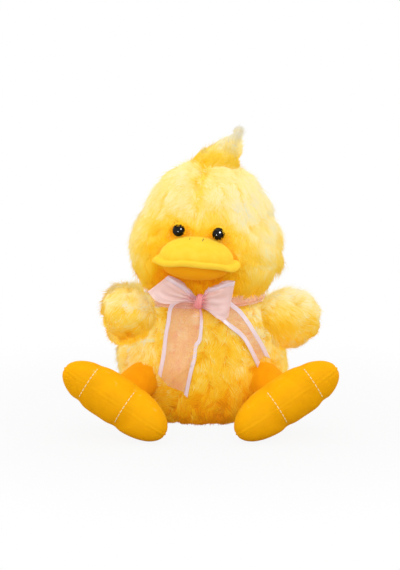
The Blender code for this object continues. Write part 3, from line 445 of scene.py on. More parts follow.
def velour_material(name, light, deep, sheen):
    """Brushed knit velour: a short even nap under 1 mm, so it is smooth and unglossy, with a faint
    mottle of 8 mm where the nap leans and a grain of 0.7 mm, drawn coarser than real to show. The nap
    attribute, set only on the feet, is painted light and shade: paler over the top and along the seam,
    deeper underneath. Its palest stop is a painted sunlit colour."""
    tree, shader = new_material(name, {
        "Roughness": 0.75, "Sheen Weight": sheen, "Sheen Roughness": 0.35, "Specular IOR Level": 0.02,
        "Sheen Tint": opaque(light),
    })
    lean = add_grain(tree, 120.0, 4.0, {"Roughness": 0.6})
    # Painted light and shade: the nap attribute, where it is set, pales the top and deepens the underside.
    nap = add_node(tree, "ShaderNodeAttribute", {"attribute_name": "nap"})
    mottle_and_painted_shading = add_node(tree, "ShaderNodeMath", {"operation": "ADD"}, {0: lean, 1: nap.outputs["Fac"]})
    # Painted light: a warm sunlit stop above the light colour.
    sunlit = tuple(c * 0.7 + 0.3 * b for c, b in zip(light, (1.0, 0.82, 0.35)))
    mottle = add_ramp(tree, mottle_and_painted_shading.outputs[0], [(0.10, deep), (0.80, light), (1.0, sunlit)])
    tree.links.new(mottle, shader.inputs["Base Color"])
    set_relief(tree, shader, add_grain(tree, 1500.0, 2.0), 0.35, 0.3 * MM)


def plain_material(name, colour, roughness, extra=None, scale=900.0, strength=0.1):
    """A moulded or spun finish with a fine grain in its relief and its colour."""
    tree, shader = new_material(name, {"Roughness": roughness, **(extra or {})})
    grain = add_grain(tree, scale, 3.0)
    shades = add_ramp(tree, grain, [(0.2, opaque(colour, 0.88)), (0.8, colour)])
    tree.links.new(shades, shader.inputs["Base Color"])
    set_relief(tree, shader, grain, strength, 0.2 * MM)


def organza_material(name, colour, alpha, weave):
    """Polyester organza: a sheer, crisp plain weave of shiny yarn, drawn at about 1 mm so it shows, that
    tints what lies behind it and catches light along its folds. It turns to the knot's deeper pink where
    its chart begins, at the knot on the tails and loops: its many layers there, and painted shade in the
    gathers. The weave is the pattern's scale over the chart."""
    tree, shader = new_material(name, {
        "Roughness": 0.42, "Sheen Weight": 0.3, "Sheen Roughness": 0.3, "Specular IOR Level": 0.22,
        "Alpha": alpha, "Sheen Tint": opaque(colour),
    })
    chart = add_node(tree, "ShaderNodeUVMap", {"uv_map": "OFBake"}).outputs["UV"]
    size = add_node(tree, "ShaderNodeMapping", {"Scale": (weave, weave * 2.4, 1.0)}, {"Vector": chart})
    yarn = add_node(tree, "ShaderNodeTexWave", {"Scale": 1.0, "Distortion": 0.4, "bands_direction": "DIAGONAL"},
                    {"Vector": size.outputs["Vector"]})
    cloth = add_ramp(tree, yarn.outputs["Fac"], [(0.0, opaque(colour, 0.93)), (1.0, colour)])
    parts = add_node(tree, "ShaderNodeSeparateXYZ", links={"Vector": chart})
    # Deeper pink near the knot: many layers, and painted shade in the gathers.
    gathered = add_rise(tree, parts.outputs["Y"], 0.02, 0.20, (0.75, 0.0))
    set_blend(tree, shader, gathered, cloth, bpy.context.scene.duck_colours.knot)


def materials():
    """Every finish, made once and found again by name."""
    if "acrylic_pile" not in bpy.data.materials:
        c = bpy.context.scene.duck_colours
        pile_material(c)
        backing_material(c)
        velour_material("golden_velour", c.velour_light, c.velour_deep, 0.06)
        velour_material("bill_velour", c.bill_light, c.bill_deep, 0.12)
        # Partly painted shade: the legs' velour is deepened for the crease under the body.
        velour_material("orange_velour", c.orange_light, c.orange_deep, 0.06)
        velour_material("lower_bill_velour", c.lower_bill_light, c.lower_bill_deep, 0.06)
        plain_material("cotton_thread", c.thread, 0.7)
        plain_material("nostril_thread", c.nostril, 0.7)
        plain_material("moulded_polystyrene", c.eye, 0.05, {"Specular IOR Level": 0.16}, 300.0, 0.0)
        plain_material("moulded_polyethylene", c.washer, 0.45)
        plain_material("polyester_fibre", c.fibre, 0.9, None, 400.0, 0.8)
        organza_material("pink_organza", c.organza, 0.22, 42.0)
        organza_material("doubled_organza", c.doubled, 0.52, 42.0)
        organza_material("neck_organza", c.organza, 0.35, 42.0)
        organza_material("satin_selvedge", c.selvedge, 0.72, 90.0)
        # The knot: deep pink for its many layers, and painted shade in its creases.
        plain_material("gathered_organza", c.knot, 0.5, {"Sheen Weight": 0.4}, 500.0, 0.4)
    return bpy.data.materials


def hairs(name, skin, body, count, per_tuft, length, comb, tone, lean=1.10, width=0.30 * MM, spread=1.9 * MM,
          pull=0.55, seed=1, droop=0.12, unruly=0.40, floor=0.0006, upright=None, contrast=1.0):
    """Pile as closed six-faced spikes of two lengths each. Tufts are spread evenly over the skin and
    their hairs lie round them at random. A hair leaves the skin halfway to its lean, bends on past
    it, sags a little, and its tip is drawn towards the tip of its tuft, as the tuft's is towards the
    tip of the nearest lock. A few hairs stand off longer than the rest. Length, comb, tone and upright
    are functions of the places: the hair's length (none below 1 mm), the way it is combed, how pale it
    is from 0 to 1, and how much of its lean it lacks. Unruly turns whole locks aside, and contrast
    makes locks, tufts and hairs differ in paleness. The shading normals lean to the skin's own, with
    the rims marked sharp so each side keeps its own, and the hair throws no shadow, because light goes
    through a soft pile."""
    rng = np.random.default_rng(seed)
    tufts = max(count // per_tuft, 1)
    level, turn = skin.scatter(tufts)
    owner = np.repeat(np.arange(tufts), per_tuft)
    locks = max(tufts // 14, 1)
    middle_points = skin.at(level, turn, skin.points)
    lock = np.argmin(np.linalg.norm(middle_points[:, None] - middle_points[None, :locks], axis=2), axis=1)
    lock_turn, lock_size = rng.normal(0.0, unruly, locks), 1 + rng.normal(0.0, 0.14, locks)
    lock_tone = rng.normal(0.0, 0.030 * contrast, locks)
    step_up = np.linalg.norm(skin.at(level, turn, skin.along), axis=1)
    step_round = np.linalg.norm(skin.at(level, turn, skin.around), axis=1)
    away = np.clip(rng.normal(0.0, spread, (len(owner), 2)), -2.2 * spread, 2.2 * spread)
    hair_level = level[owner] + away[:, 0] / np.maximum(step_up[owner], 0.2 * MM)
    hair_turn = turn[owner] + away[:, 1] / np.maximum(step_round[owner], 0.2 * MM)

    def curve(place_level, place_turn, wander, lock, stray=0.0):
        root = skin.at(place_level, place_turn, skin.points)
        out = unit(skin.at(place_level, place_turn, skin.normals))
        way = comb(root)
        way = unit(way - (way * out).sum(axis=1, keepdims=True) * out)
        swirl = drift(root, 30 * MM, 5) * 0.42 + lock_turn[lock] + rng.normal(0.0, wander, len(root))
        way = way * np.cos(swirl)[:, None] + np.cross(out, way) * np.sin(swirl)[:, None]
        tilt = lean * (1 - upright(root)) if upright else lean
        tilt = tilt + drift(root, 19 * MM, 9) * 0.08 + rng.normal(0.0, wander * 0.5, len(root)) - stray * 0.20
        full = length(root) * lock_size[lock] * (1 + rng.normal(0.0, 0.10, len(root)) + stray * 0.18)
        first = out * np.cos(tilt * 0.6)[:, None] + way * np.sin(tilt * 0.6)[:, None]
        second = out * np.cos(tilt * 1.25)[:, None] + way * np.sin(tilt * 1.25)[:, None]
        second = unit(second - np.array((0.0, 0.0, droop)))
        middle = root + first * full[:, None] * 0.5
        return root, out, full, middle, middle + second * full[:, None] * 0.5

    _, _, _, centre_middle, centre_tip = curve(level, turn, 0.12, lock)
    gathered = np.clip(rng.normal(0.46, 0.12, tufts), 0.0, 0.75)[:, None]
    centre_tip = centre_tip * (1 - gathered) + centre_tip[lock] * gathered
    centre_middle = centre_middle * (1 - gathered * 0.3) + centre_middle[lock] * gathered * 0.3
    stray = (rng.random(len(owner)) < 0.04).astype(float)
    root, out, full, middle, tip = curve(hair_level, hair_turn, 0.20, lock[owner], stray)
    hold = np.clip(rng.normal(pull, 0.12, tufts), 0.1, 0.9)[owner][:, None] * (1 - 0.7 * stray[:, None])
    tip = tip * (1 - hold) + (centre_tip[owner] + rng.normal(0.0, 0.35 * MM, tip.shape)) * hold
    middle = middle * (1 - hold * 0.4) + centre_middle[owner] * hold * 0.4
    # The tone functions carry painted light and shade besides the pile's own tone; locks, tufts and hairs then differ
    # at random.
    paleness = np.maximum(tone(root, out), 0.03) + lock_tone[lock[owner]]
    paleness = paleness + rng.normal(0.0, 0.050 * contrast, tufts)[owner]
    paleness = paleness + rng.normal(0.0, 0.035 * contrast, len(root))
    kept = full > 1.0 * MM
    root, out, full, middle, tip, paleness = (v[kept] for v in (root, out, full, middle, tip, paleness))
    middle[:, 2], tip[:, 2] = np.maximum(middle[:, 2], floor), np.maximum(tip[:, 2], floor)
    root = root - out * 0.6 * MM

    axis = unit(tip - root)
    across = unit(np.cross(axis, out) + 1e-9)
    over = np.cross(across, axis)
    size = width * rng.uniform(0.70, 1.30, len(root))[:, None]
    points = np.stack((root, middle - across * size, middle + across * size,
                       middle + over * size * 0.6, tip), axis=1)
    lit = out * 0.3
    upper = np.stack((out, unit(over * 0.35 - across * 0.85 + lit), unit(over * 0.35 + across * 0.85 + lit),
                      unit(over + lit), unit(over * 0.5 + axis * 0.6)), axis=1)
    chart = np.zeros((len(root), 5, 2))
    chart[:, :, 0] = np.clip(paleness[:, None] + np.array((0.0, -0.012, 0.012, 0.0, 0.0)), 0.01, 0.99)
    chart[:, :, 1] = (0.02, 0.5, 0.5, 0.52, 0.98)
    one = np.array(((0, 1, 2), (0, 2, 3), (0, 3, 1), (1, 4, 2), (2, 4, 3), (3, 4, 1)))
    faces = (np.arange(len(root))[:, None, None] * 5 + one).reshape(-1, 3)
    made = add_mesh(name, points.reshape(-1, 3), faces, materials()["acrylic_pile"], chart.reshape(-1, 2))
    normals = np.take(upper, one, axis=1)
    normals[:, (0, 3)] = -over[:, None, None]
    ends = np.empty(len(made.data.edges) * 2, np.int32)
    made.data.edges.foreach_get("vertices", ends)
    ends = ends.reshape(-1, 2) % 5
    rim = (ends != 3).all(axis=1) & (ends.sum(axis=1) != 3)
    made.data.attributes.new("sharp_edge", "BOOLEAN", "EDGE").data.foreach_set("value", rim)
    layer = made.data.attributes.new("custom_normal", "FLOAT_VECTOR", "CORNER")
    layer.data.foreach_set("vector", normals.astype(np.float32).ravel())
    made.data.update()
    made.visible_shadow = False
    made.visible_diffuse = False
    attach(made, body)


def tube_points(path, radius, sides=6):
    """Points and quads of a closed round tube along a path: each ring lies across the way between its
    neighbours, and both end rings shrink to a small flat."""
    way = unit(np.gradient(path, axis=0))
    across = unit(np.cross(way, np.array((0.31, 0.22, 0.93))))
    over = np.cross(way, across)
    turn = np.linspace(0.0, 2 * math.pi, sides, endpoint=False)
    size = np.full(len(path), radius)
    size[[0, -1]] *= 0.45
    rings = path[:, None] + size[:, None, None] * (across[:, None] * np.cos(turn)[:, None]
                                                   + over[:, None] * np.sin(turn)[:, None])
    quads = grid_faces(len(path), sides)
    last = (len(path) - 1) * sides
    ends = np.array(((3, 2, 1, 0), (5, 4, 3, 0), (last, last + 1, last + 2, last + 3),
                     (last, last + 3, last + 4, last + 5)))
    return rings.reshape(-1, 3), np.concatenate((quads, ends))


# Body

def flat_rings(size, squareness, sides, rows):
    """Level rings of a superellipse from (share, height) rows."""
    x, y = superellipse(sides, squareness)
    return np.array([np.stack((x * size[0] / 2 * s, y * size[1] / 2 * s, np.full(sides, z)), 1)
                     for s, z in rows])


def body_rings():
    """The body's cloth from the seat's middle, up the pear, over the rim and down into the neck's bowl."""
    rings = form_points(BODY_SHARES, BODY_SIZE, BODY_SQUARENESS, 0.0, 60, 96)
    seat = flat_rings(BODY_SIZE, BODY_SQUARENESS, 96, ((0.0, 0.0), (0.25, 0.0), (0.5, 0.0)))
    bowl = ((0.565, 0.1300), (0.53, 0.1285), (0.50, 0.1245), (0.48, 0.116), (0.42, 0.102), (0.30, 0.091),
            (0.0, 0.086))
    return np.concatenate((seat, rings, flat_rings(BODY_SIZE, BODY_SQUARENESS, 96, bowl)))


def near(points, place, width):
    """How near points are to a place: 1 there, 0 from the width on."""
    return 1 - mixed(0.0, 1.0, np.linalg.norm(points - np.array(place), axis=-1) / width)


def ribbon_cover(points):
    """How far the bow and its tails press the pile: 1 under them and 0 away from them."""
    x, y, z = points[:, 0], points[:, 1], points[:, 2]
    edge = np.interp(z, (0.041, 0.075, 0.108), (-0.031, -0.023, -0.018))
    left = bump(x - edge, 0.019) * mixed(0.026, 0.040, z)
    edge = np.interp(z, (0.061, 0.081, 0.105, 0.118, 0.126), (0.061, 0.052, 0.034, 0.021, 0.014))
    right = bump(x - edge, 0.016) * mixed(0.056, 0.068, z)
    front = (y < 0).astype(float)
    return np.clip(np.maximum(left, right) * front, 0.0, 1.0)


def body_length(points):
    """Long all over, short where the seat, the wings, the legs, the collar and the bow press it."""
    size = bpy.context.scene.duck_sizes.pile_length * 0.92
    z = points[:, 2]
    full = size * (0.55 + 0.45 * mixed(0.0, 0.030, z))
    full = full * (1 - 0.55 * ribbon_cover(points)) * (1 - 0.75 * mixed(0.112, 0.121, z))
    for side in SIDES:
        hip = np.linalg.norm(points - np.array(HIPS[side]), axis=1)
        root = np.linalg.norm(points - np.array(SHOULDERS[side]), axis=1)
        full = full * (hip > 0.0195) * mixed(0.007, 0.014, root)
        full = full * (1 + 0.20 * near(points, SHOULDERS[side], 0.034))
        full = full * (1 + 0.35 * near(points, HIPS[side], 0.032))
    return np.where(z < 0.4 * MM, 0.0, full)


def body_comb(points):
    """Down the body and a little outwards, as it is brushed, and over the legs' roots beside them."""
    way = np.stack((points[:, 0] * 0.6, points[:, 1] * 0.35, np.full(len(points), -0.055)), axis=1)
    for side in SIDES:
        hip = np.array(HIPS[side]) * np.array((1.25, 1.35, 0.9))
        share = 0.9 * near(points, HIPS[side], 0.032)[:, None]
        way = way * (1 - share) + (hip - points) * 2.5 * share
    return way


def body_tone_and_painted_shading(points, out):
    """Painted shade: deep gold low down, at the seat, in the creases at the legs and under the head.
    Painted light where the wings join. Paler out to the sides, more on the left, with a paler patch low
    on the left, a deeper band down the middle, and tone that differs at random.
    """
    x, z = points[:, 0], points[:, 2]
    # Painted shade: deeper towards the seat; a deeper band down the middle.
    tone = 0.05 + 0.42 * mixed(0.008, 0.066, z) + 0.10 * mixed(0.060, 0.120, z) - 0.07 * bump(x - 0.008, 0.018)
    tone = tone + 0.16 * bump(x + 0.045, 0.024) * (1 - mixed(0.030, 0.060, z)) * mixed(0.006, 0.022, z)
    tone = tone + np.where(x < 0, 0.26, 0.10) * mixed(0.030, 0.075, np.abs(x))
    tone = tone + 0.05 * drift(points, 26 * MM, 3)
    # Painted shade in the creases where the legs meet the body; painted light where the wings join.
    tone = tone - 0.04 * near(points, HIPS["left"], 0.034) - 0.26 * near(points, HIPS["right"], 0.034)
    tone = tone + 0.20 * near(points, SHOULDERS["left"], 0.042) + 0.20 * near(points, SHOULDERS["right"], 0.042)
    # Painted shade under the head, at the top of the neck.
    return np.minimum(tone, 0.68) - 0.30 * mixed(0.112, 0.128, z)


class DUCK_OT_body(Operator):
    """Stuffed body: the cloth follows the pear, with pile over it and a plush neck inside its rim."""

    bl_idname = "duck.body"
    bl_label = "Body"

    def execute(self, context):
        sizes = context.scene.duck_sizes
        outer = body_rings()
        cloth_points = Skin(outer).shrunk(sizes.backing_inset).points
        cloth_points[:3, :, 2] = outer[:3, :, 2] + 0.2 * MM
        cloth_points[:, :, 2] = np.maximum(cloth_points[:, :, 2], 0.2 * MM)
        pile_cloth("body_cloth", cloth_points, "body", ("body_skin", "body_stuffing"))
        add_quarters("body", cloth_points[3:-7], sizes.body_hairs, body_length, body_comb, body_tone_and_painted_shading, 21,
                     unruly=0.7, lean=0.95, contrast=1.7)
        tilt = np.linspace(-math.pi / 2, math.pi / 2, 25)
        ball = turned(np.stack((np.cos(tilt), np.sin(tilt)), 1), 48)
        pile_cloth("neck_cloth", ball * 0.0340 + np.array(NECK), "neck", ("neck_stuffing",))
        return {"FINISHED"}


class Patch(Skin):
    """A part of a skin whose turn doesn't wrap."""

    def __init__(self, points, normals):
        self.points, self.normals = points, normals
        self.along = np.gradient(points, axis=0)
        self.around = np.gradient(points, axis=1)
        step = np.linalg.norm(np.cross(self.around, self.along), axis=2)[:, :-1]
        self.area = (step[1:] + step[:-1]) / 2

    def at(self, level, turn, values):
        return super().at(level, np.clip(turn, 0, self.points.shape[1] - 1.001), values)


def add_quarters(body, skin, count, length, comb, tone, seed, **more):
    """Pile on a skin in four open quarters, so each mesh stays small."""
    columns = skin.shape[1]
    for index, name in enumerate(("right", "back", "left", "front")):
        start = int(columns * (index - 0.5) / 4)
        points = np.take(skin, np.arange(start, start + columns // 4 + 1) % columns, axis=1)
        along, around = np.gradient(points, axis=0), np.gradient(points, axis=1)
        patch = Patch(points, unit(np.cross(around, along)))
        hairs(body + "_pile_" + name, patch, body, count, 15, length, comb, tone, seed=seed + index, **more)


# Head

TUFT_FOOT = (0.0, -0.008, HEAD_BASE + HEAD_SIZE[2])


def head_rings():
    """The head's cloth from the bowl over the neck, round the cheeks to the crown."""
    rings = form_points(HEAD_SHARES, HEAD_SIZE, HEAD_SQUARENESS, HEAD_BASE, 72, 96)
    bowl = ((0.0, 0.058), (0.30, 0.054), (0.44, 0.040), (0.52, 0.022), (0.57, 0.0165))
    return np.concatenate((flat_rings(HEAD_SIZE, HEAD_SQUARENESS, 96, bowl), rings))


def eye_place(sign):
    """Where an eye's middle meets the head, in the head's frame."""
    x, height = sign * EYE_SPACING / 2, HEAD_BASE + EYE_LIFT
    return np.array((x, float(HEAD.front(x, height)), height))


def face_masks(points):
    """In the head's frame: how near each point is to an eye, and how far it is outside the bill."""
    own = to_head(points)
    eye = np.minimum(*(np.linalg.norm(own - eye_place(sign), axis=1) for sign in (-1, 1)))
    lip = HEAD_BASE + BILL_LIFT
    across, up = own[:, 0] / (BILL_WIDTH / 2), own[:, 2] - lip
    dome = np.sqrt(across**2 + (np.maximum(up, 0) / 0.0245) ** 2)
    bowl = np.sqrt((across / 0.80) ** 2 + (np.maximum(-up, 0) / 0.0185) ** 2)
    bill = np.where(up > 0, dome, bowl)
    return own, eye, np.where(own[:, 1] < 0, bill, 9.0)


def eye_rim(eye):
    """1 where the hair laps an eye's edge, 0 just outside it."""
    return 1 - mixed(0.0096, 0.0116, eye)


def chin_share(own):
    """How near points are to the middle of the chin, under the bill."""
    return bump(own[:, 0], 0.034) * (1 - mixed(0.014, 0.040, own[:, 2])) * (own[:, 1] < 0)


def head_length(points):
    """Long on the crown, cheeks and back, and longer at the tuft's foot; short round the eyes; none under the bill.
    """
    size = bpy.context.scene.duck_sizes.pile_length
    own, eye, bill = face_masks(points)
    full = size * (1 - 0.25 * bump(own[:, 0], 0.030) * (own[:, 1] < 0) * mixed(0.050, 0.070, own[:, 2]))
    chin = (1 - mixed(0.024, 0.030, own[:, 2])) * bump(own[:, 0], 0.034) * (own[:, 1] < 0)
    lips = np.maximum(0.30 + 0.70 * mixed(0.98, 1.45, bill), chin)
    full = full * (0.30 + 0.70 * mixed(0.008, 0.024, eye)) * lips
    middle = bump(own[:, 0], 0.034)
    side = np.where(own[:, 1] < -0.030, -0.35, 0.45)
    full = full * (1 + (0.45 * middle + side * (1 - middle)) * (1 - mixed(0.018, 0.034, own[:, 2])))
    full = full + 0.0078 * eye_rim(eye)
    full = full * (1 + 0.45 * near(own, TUFT_FOOT, 0.024))
    full = full * (1 - 0.60 * near(points, LEFT_NOTCH, 0.016)) * (1 - 0.45 * near(points, RIGHT_CREASE, 0.009))
    return np.where((eye < 0.0066) | (bill < 0.93) | (own[:, 2] < 0.0150), 0.0, full)


def head_comb(points):
    """Away from the crown and outwards over the cheeks."""
    own = to_head(points)
    seam = np.sign(own[:, 0] + 0.004) * bump(own[:, 0] + 0.004, 0.022) * mixed(0.070, 0.095, own[:, 2]) * 0.05
    low = 1 - mixed(0.015, 0.040, own[:, 2])
    way = np.stack((own[:, 0] * 0.8 * (1 - low) + seam, own[:, 1] * 0.6 * (1 - low),
                    -0.045 - 0.03 * low), axis=1)
    up = near(own, TUFT_FOOT, 0.026)[:, None]
    way = way * (1 - up) + up * (np.array((0.002, 0.004, 0.200)) - own)
    for sign in (-1, 1):
        away = eye_place(sign) - own
        lap = eye_rim(np.linalg.norm(away, axis=1))[:, None]
        way = way * (1 - lap) + lap * away * 20
    return way @ HEAD_POSE.T


def head_upright(points):
    """Hair stands up more round the eyes, at the tuft's foot and on the chin."""
    own, eye, _ = face_masks(points)
    chin = chin_share(own) * (1 + 0.6 * drift(points, 7 * MM, 12))
    return np.maximum(np.maximum(0.68 * eye_rim(eye), 0.45 * chin), 0.35 * near(own, TUFT_FOOT, 0.026))


def head_tone_and_painted_shading(points, out):
    """Painted light: pale on the crown. Painted shade: golden low down, round the bill, in the notch and
    in the crease. Paler out to both cheeks, more on the right; deeper along the crown's seam, in a ring
    round the eyes and low on the right side; mottled mid gold under the bill; and tone that differs at
    random.
    """
    own, eye, bill = face_masks(points)
    x, z = own[:, 0], own[:, 2]
    # Painted light on the crown and painted shade low down.
    tone = 0.48 + 0.24 * mixed(0.055, 0.110, z) - 0.28 * (1 - mixed(0.018, 0.048, z))
    tone = tone + 0.17 * mixed(0.0, 0.060, x) + 0.16 * mixed(0.038, 0.066, -x)
    tone = tone + 0.035 * drift(points, 28 * MM, 8)
    # A paler band on the cheeks at eye height, and painted shade round the bill.
    tone = tone + 0.10 * bump(z - 0.062, 0.024) * mixed(0.025, 0.050, np.abs(x)) - 0.22 * bump(bill - 1.1, 0.35)
    tone = tone - 0.12 * bump(x + 0.004, 0.0016) * mixed(0.085, 0.100, z)
    # Painted shade in the notch and the crease.
    tone = tone - 0.22 * near(points, LEFT_NOTCH, 0.016) - 0.30 * near(points, RIGHT_CREASE, 0.009)
    tone = tone - 0.15 * mixed(0.060, 0.070, points[:, 0]) * (1 - mixed(0.183, 0.195, points[:, 2]))
    chin = chin_share(own)
    tone = tone - 0.12 * bump(eye - 0.010, 0.008)
    return np.minimum(tone * (1 - chin) + chin * (0.32 + 0.20 * drift(points, 6 * MM, 14)), 0.82)


class DUCK_OT_head(Operator):
    """Stuffed head: narrow crown, full cheeks, pile that is pale at the crown as painted light and short at the face.
    """

    bl_idname = "duck.head"
    bl_label = "Head"

    def execute(self, context):
        sizes = context.scene.duck_sizes
        cloth_points = from_head(Skin(head_rings()).shrunk(sizes.backing_inset).points)
        pile_cloth("head_cloth", cloth_points, "head", ("head_skin", "head_stuffing"))
        add_quarters("head", cloth_points[5:], sizes.head_hairs, head_length, head_comb, head_tone_and_painted_shading, 41,
                     unruly=0.45, upright=head_upright, contrast=0.9)
        return {"FINISHED"}


class DUCK_OT_crest(Operator):
    """Tuft on the crown: a tapering sleeve of long pile that sweeps to one side and pales to its tip."""

    bl_idname = "duck.crest"
    bl_label = "Crest"

    def execute(self, context):
        top = HEAD_BASE + HEAD_SIZE[2]
        shares = smooth_curve(((0.0, 1.0, 0.0), (0.18, 0.98, 0.10), (0.40, 0.74, 0.30), (0.62, 0.50, 0.56),
                               (0.82, 0.30, 0.82), (0.95, 0.14, 0.97), (1.0, 0.0, 1.0)), 32)
        x, y = superellipse(40, 2.0)
        rings = np.zeros((33, 40, 3))
        rings[1:, :, 0] = -0.0005 + shares[:, 2:3] * 0.0250 + shares[:, 1:2] * x * 0.0430 / 2
        rings[1:, :, 1] = shares[:, 1:2] * y * 0.0260 / 2
        rings[1:, :, 2] = top - 0.0090 + shares[:, 0:1] * 0.0468
        rings[0] = (-0.0005, 0.0, top - 0.0090)
        core = from_head(Skin(rings).shrunk(3.0 * MM).points)
        pile_cloth("crest_cloth", core, "head", ("crest",), 0.5)
        tip = from_head(np.array((0.0255, 0.0, top + 0.0400)))

        def length(points):
            climb = (to_head(points)[:, 2] - top) / 0.042
            return (0.0140 - 0.0065 * np.clip(climb, 0, 1)) * (climb > -0.16)

        def comb(points):
            return tip - points

        def tone(points, out):
            climb = (to_head(points)[:, 2] - top) / 0.042
            return 0.41 + 0.86 * np.clip(climb, 0, 1)

        count = context.scene.duck_sizes.crest_hairs
        hairs("crest_pile", Skin(core[2:]), "head", count, 15, length, comb, tone,
              lean=1.25, seed=61, spread=1.5 * MM, pull=0.5, droop=0.0)
        return {"FINISHED"}


# Face

def turned(profile, sides):
    """A surface turned about Z from rows of (radius, height), the lowest row first."""
    x, y = superellipse(sides, 2.0)
    profile = np.asarray(profile, float)
    return np.stack((profile[:, 0:1] * x, profile[:, 0:1] * y, profile[:, 1:2] * np.ones(sides)), axis=2)


class DUCK_OT_eyes(Operator):
    """Safety eyes: polished moulded domes with a rolled edge, on their stems and washers."""

    bl_idname = "duck.eyes"
    bl_label = "Eyes"

    def execute(self, context):
        height = HEAD_BASE + EYE_LIFT
        bend = np.linspace(0.0, math.pi / 2, 17)
        dome = [(EYE_WIDTH / 2 * math.cos(a) ** 0.9, 0.0006 + EYE_DOME * math.sin(a)) for a in bend[:-1]]
        profile = [(0.0, -0.0093), (0.0016, -0.0093), (0.0016, 0.0), (EYE_WIDTH / 2 - 0.0004, 0.0)]
        profile += dome + [(0.0, 0.0006 + EYE_DOME)]
        for side, sign in zip(SIDES, (-1, 1)):
            x = sign * EYE_SPACING / 2
            out = HEAD.front_normal(np.array([x]), np.array([height]))[0]
            place = np.array((x, float(HEAD.front(x, height)), height)) + out * 0.0003
            turn = np.array(Vector(out).to_track_quat("Z", "Y").to_matrix())
            points = from_head(turned(profile, 48) @ turn.T + place)
            eye = closed_skin("eye_dome_" + side, points, materials()["moulded_polystyrene"])
            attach(eye, "head")
            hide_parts("eye_" + side)
            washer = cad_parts["eye_washer_" + side]
            washer.data.materials.clear()
            washer.data.materials.append(materials()["moulded_polyethylene"])
        return {"FINISHED"}


class DUCK_OT_bill(Operator):
    """Bill: a padded velour dome over a thin rolled lip that waves, and an orange bowl under it."""

    bl_idname = "duck.bill"
    bl_label = "Bill"

    def execute(self, context):
        sides = 120
        lip = HEAD_BASE + BILL_LIFT
        middle = float(HEAD.front(0.0, lip))
        turn = np.linspace(0.0, 2 * math.pi, sides, endpoint=False)
        half = BILL_WIDTH / 2
        section = smooth_curve(((1.25, 0.04), (0.60, 0.0), (0.15, 0.10), (0.0, 0.46), (0.14, 0.86), (0.55, 1.0),
                                (0.92, 0.86), (1.10, 0.80)), 22)
        rows = [(0.0, 0.0), (0.4, 0.0), (0.7, 0.0)] + [(1 - a * LIP / half, b * LIP) for a, b in section]
        rise = np.linspace(0.0, math.pi / 2, 26)[1:]
        width = rows[-1][0]
        rows += [(width * math.cos(a) ** 1.02, 0.8 * LIP + 0.0184 * math.sin(a)) for a in rise]
        share = np.array([r[0] for r in rows])[:, None]
        climb = np.array([r[1] for r in rows])[:, None]
        wave = (0.0009 * np.sin(4 * turn + 0.4) + 0.0006 * np.sin(7 * turn + 1.1)) * share**3
        corner = np.cos(turn) ** 2 * share**4
        wave = wave - 0.0052 * corner
        climb = climb * (1 - 0.22 * corner * (climb < LIP * 1.02))
        swell = 1 + 0.010 * np.sin(5 * turn + 0.7) * share**2
        rings = np.stack((share * half * np.cos(turn) * swell,
                          middle + share * BILL_REACH * np.sin(turn) * swell,
                          lip + climb + wave * (climb > 0)), axis=2)
        stuffed("bill_upper_cloth", from_head(rings), "bill_velour", "head", ("bill_upper",))
        for name, x, reach in (("left", -0.0060, 0.0016), ("right", 0.0068, 0.0034)):
            lean = 1.27 + np.linspace(-0.5, 0.5, 9) * reach / 0.0184
            tall = 0.8 * LIP + 0.0184 * np.sin(lean) + 0.1 * MM * np.sin(np.linspace(0, math.pi, 9))
            inner = np.sqrt(np.cos(lean) ** 2.04 - (x / half / width) ** 2)
            ahead = middle - BILL_REACH * width * inner - 0.1 * MM
            path = np.stack((np.full(9, x), ahead, lip + tall), axis=1)
            tube, quads = tube_points(from_head(path), 0.38 * MM)
            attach(add_mesh("nostril_stitch_" + name, tube, quads, materials()["nostril_thread"]), "head")
        bowl = np.linspace(-math.pi / 2, 0.0, 20)
        share = np.concatenate((np.cos(bowl) ** 0.85, (0.6, 0.0)))[:, None]
        climb = np.concatenate((0.0170 * np.sin(bowl), (0.0, 0.0)))[:, None]
        rings = np.stack((share * 0.0325 * np.cos(turn), middle + share * 0.0330 * np.sin(turn),
                          lip - 0.0003 + climb - 0.0030 * np.cos(turn) ** 2 * share**3), axis=2)
        stuffed("bill_lower_cloth", from_head(rings), "lower_bill_velour", "head", ("bill_lower",))
        return {"FINISHED"}


# Limbs

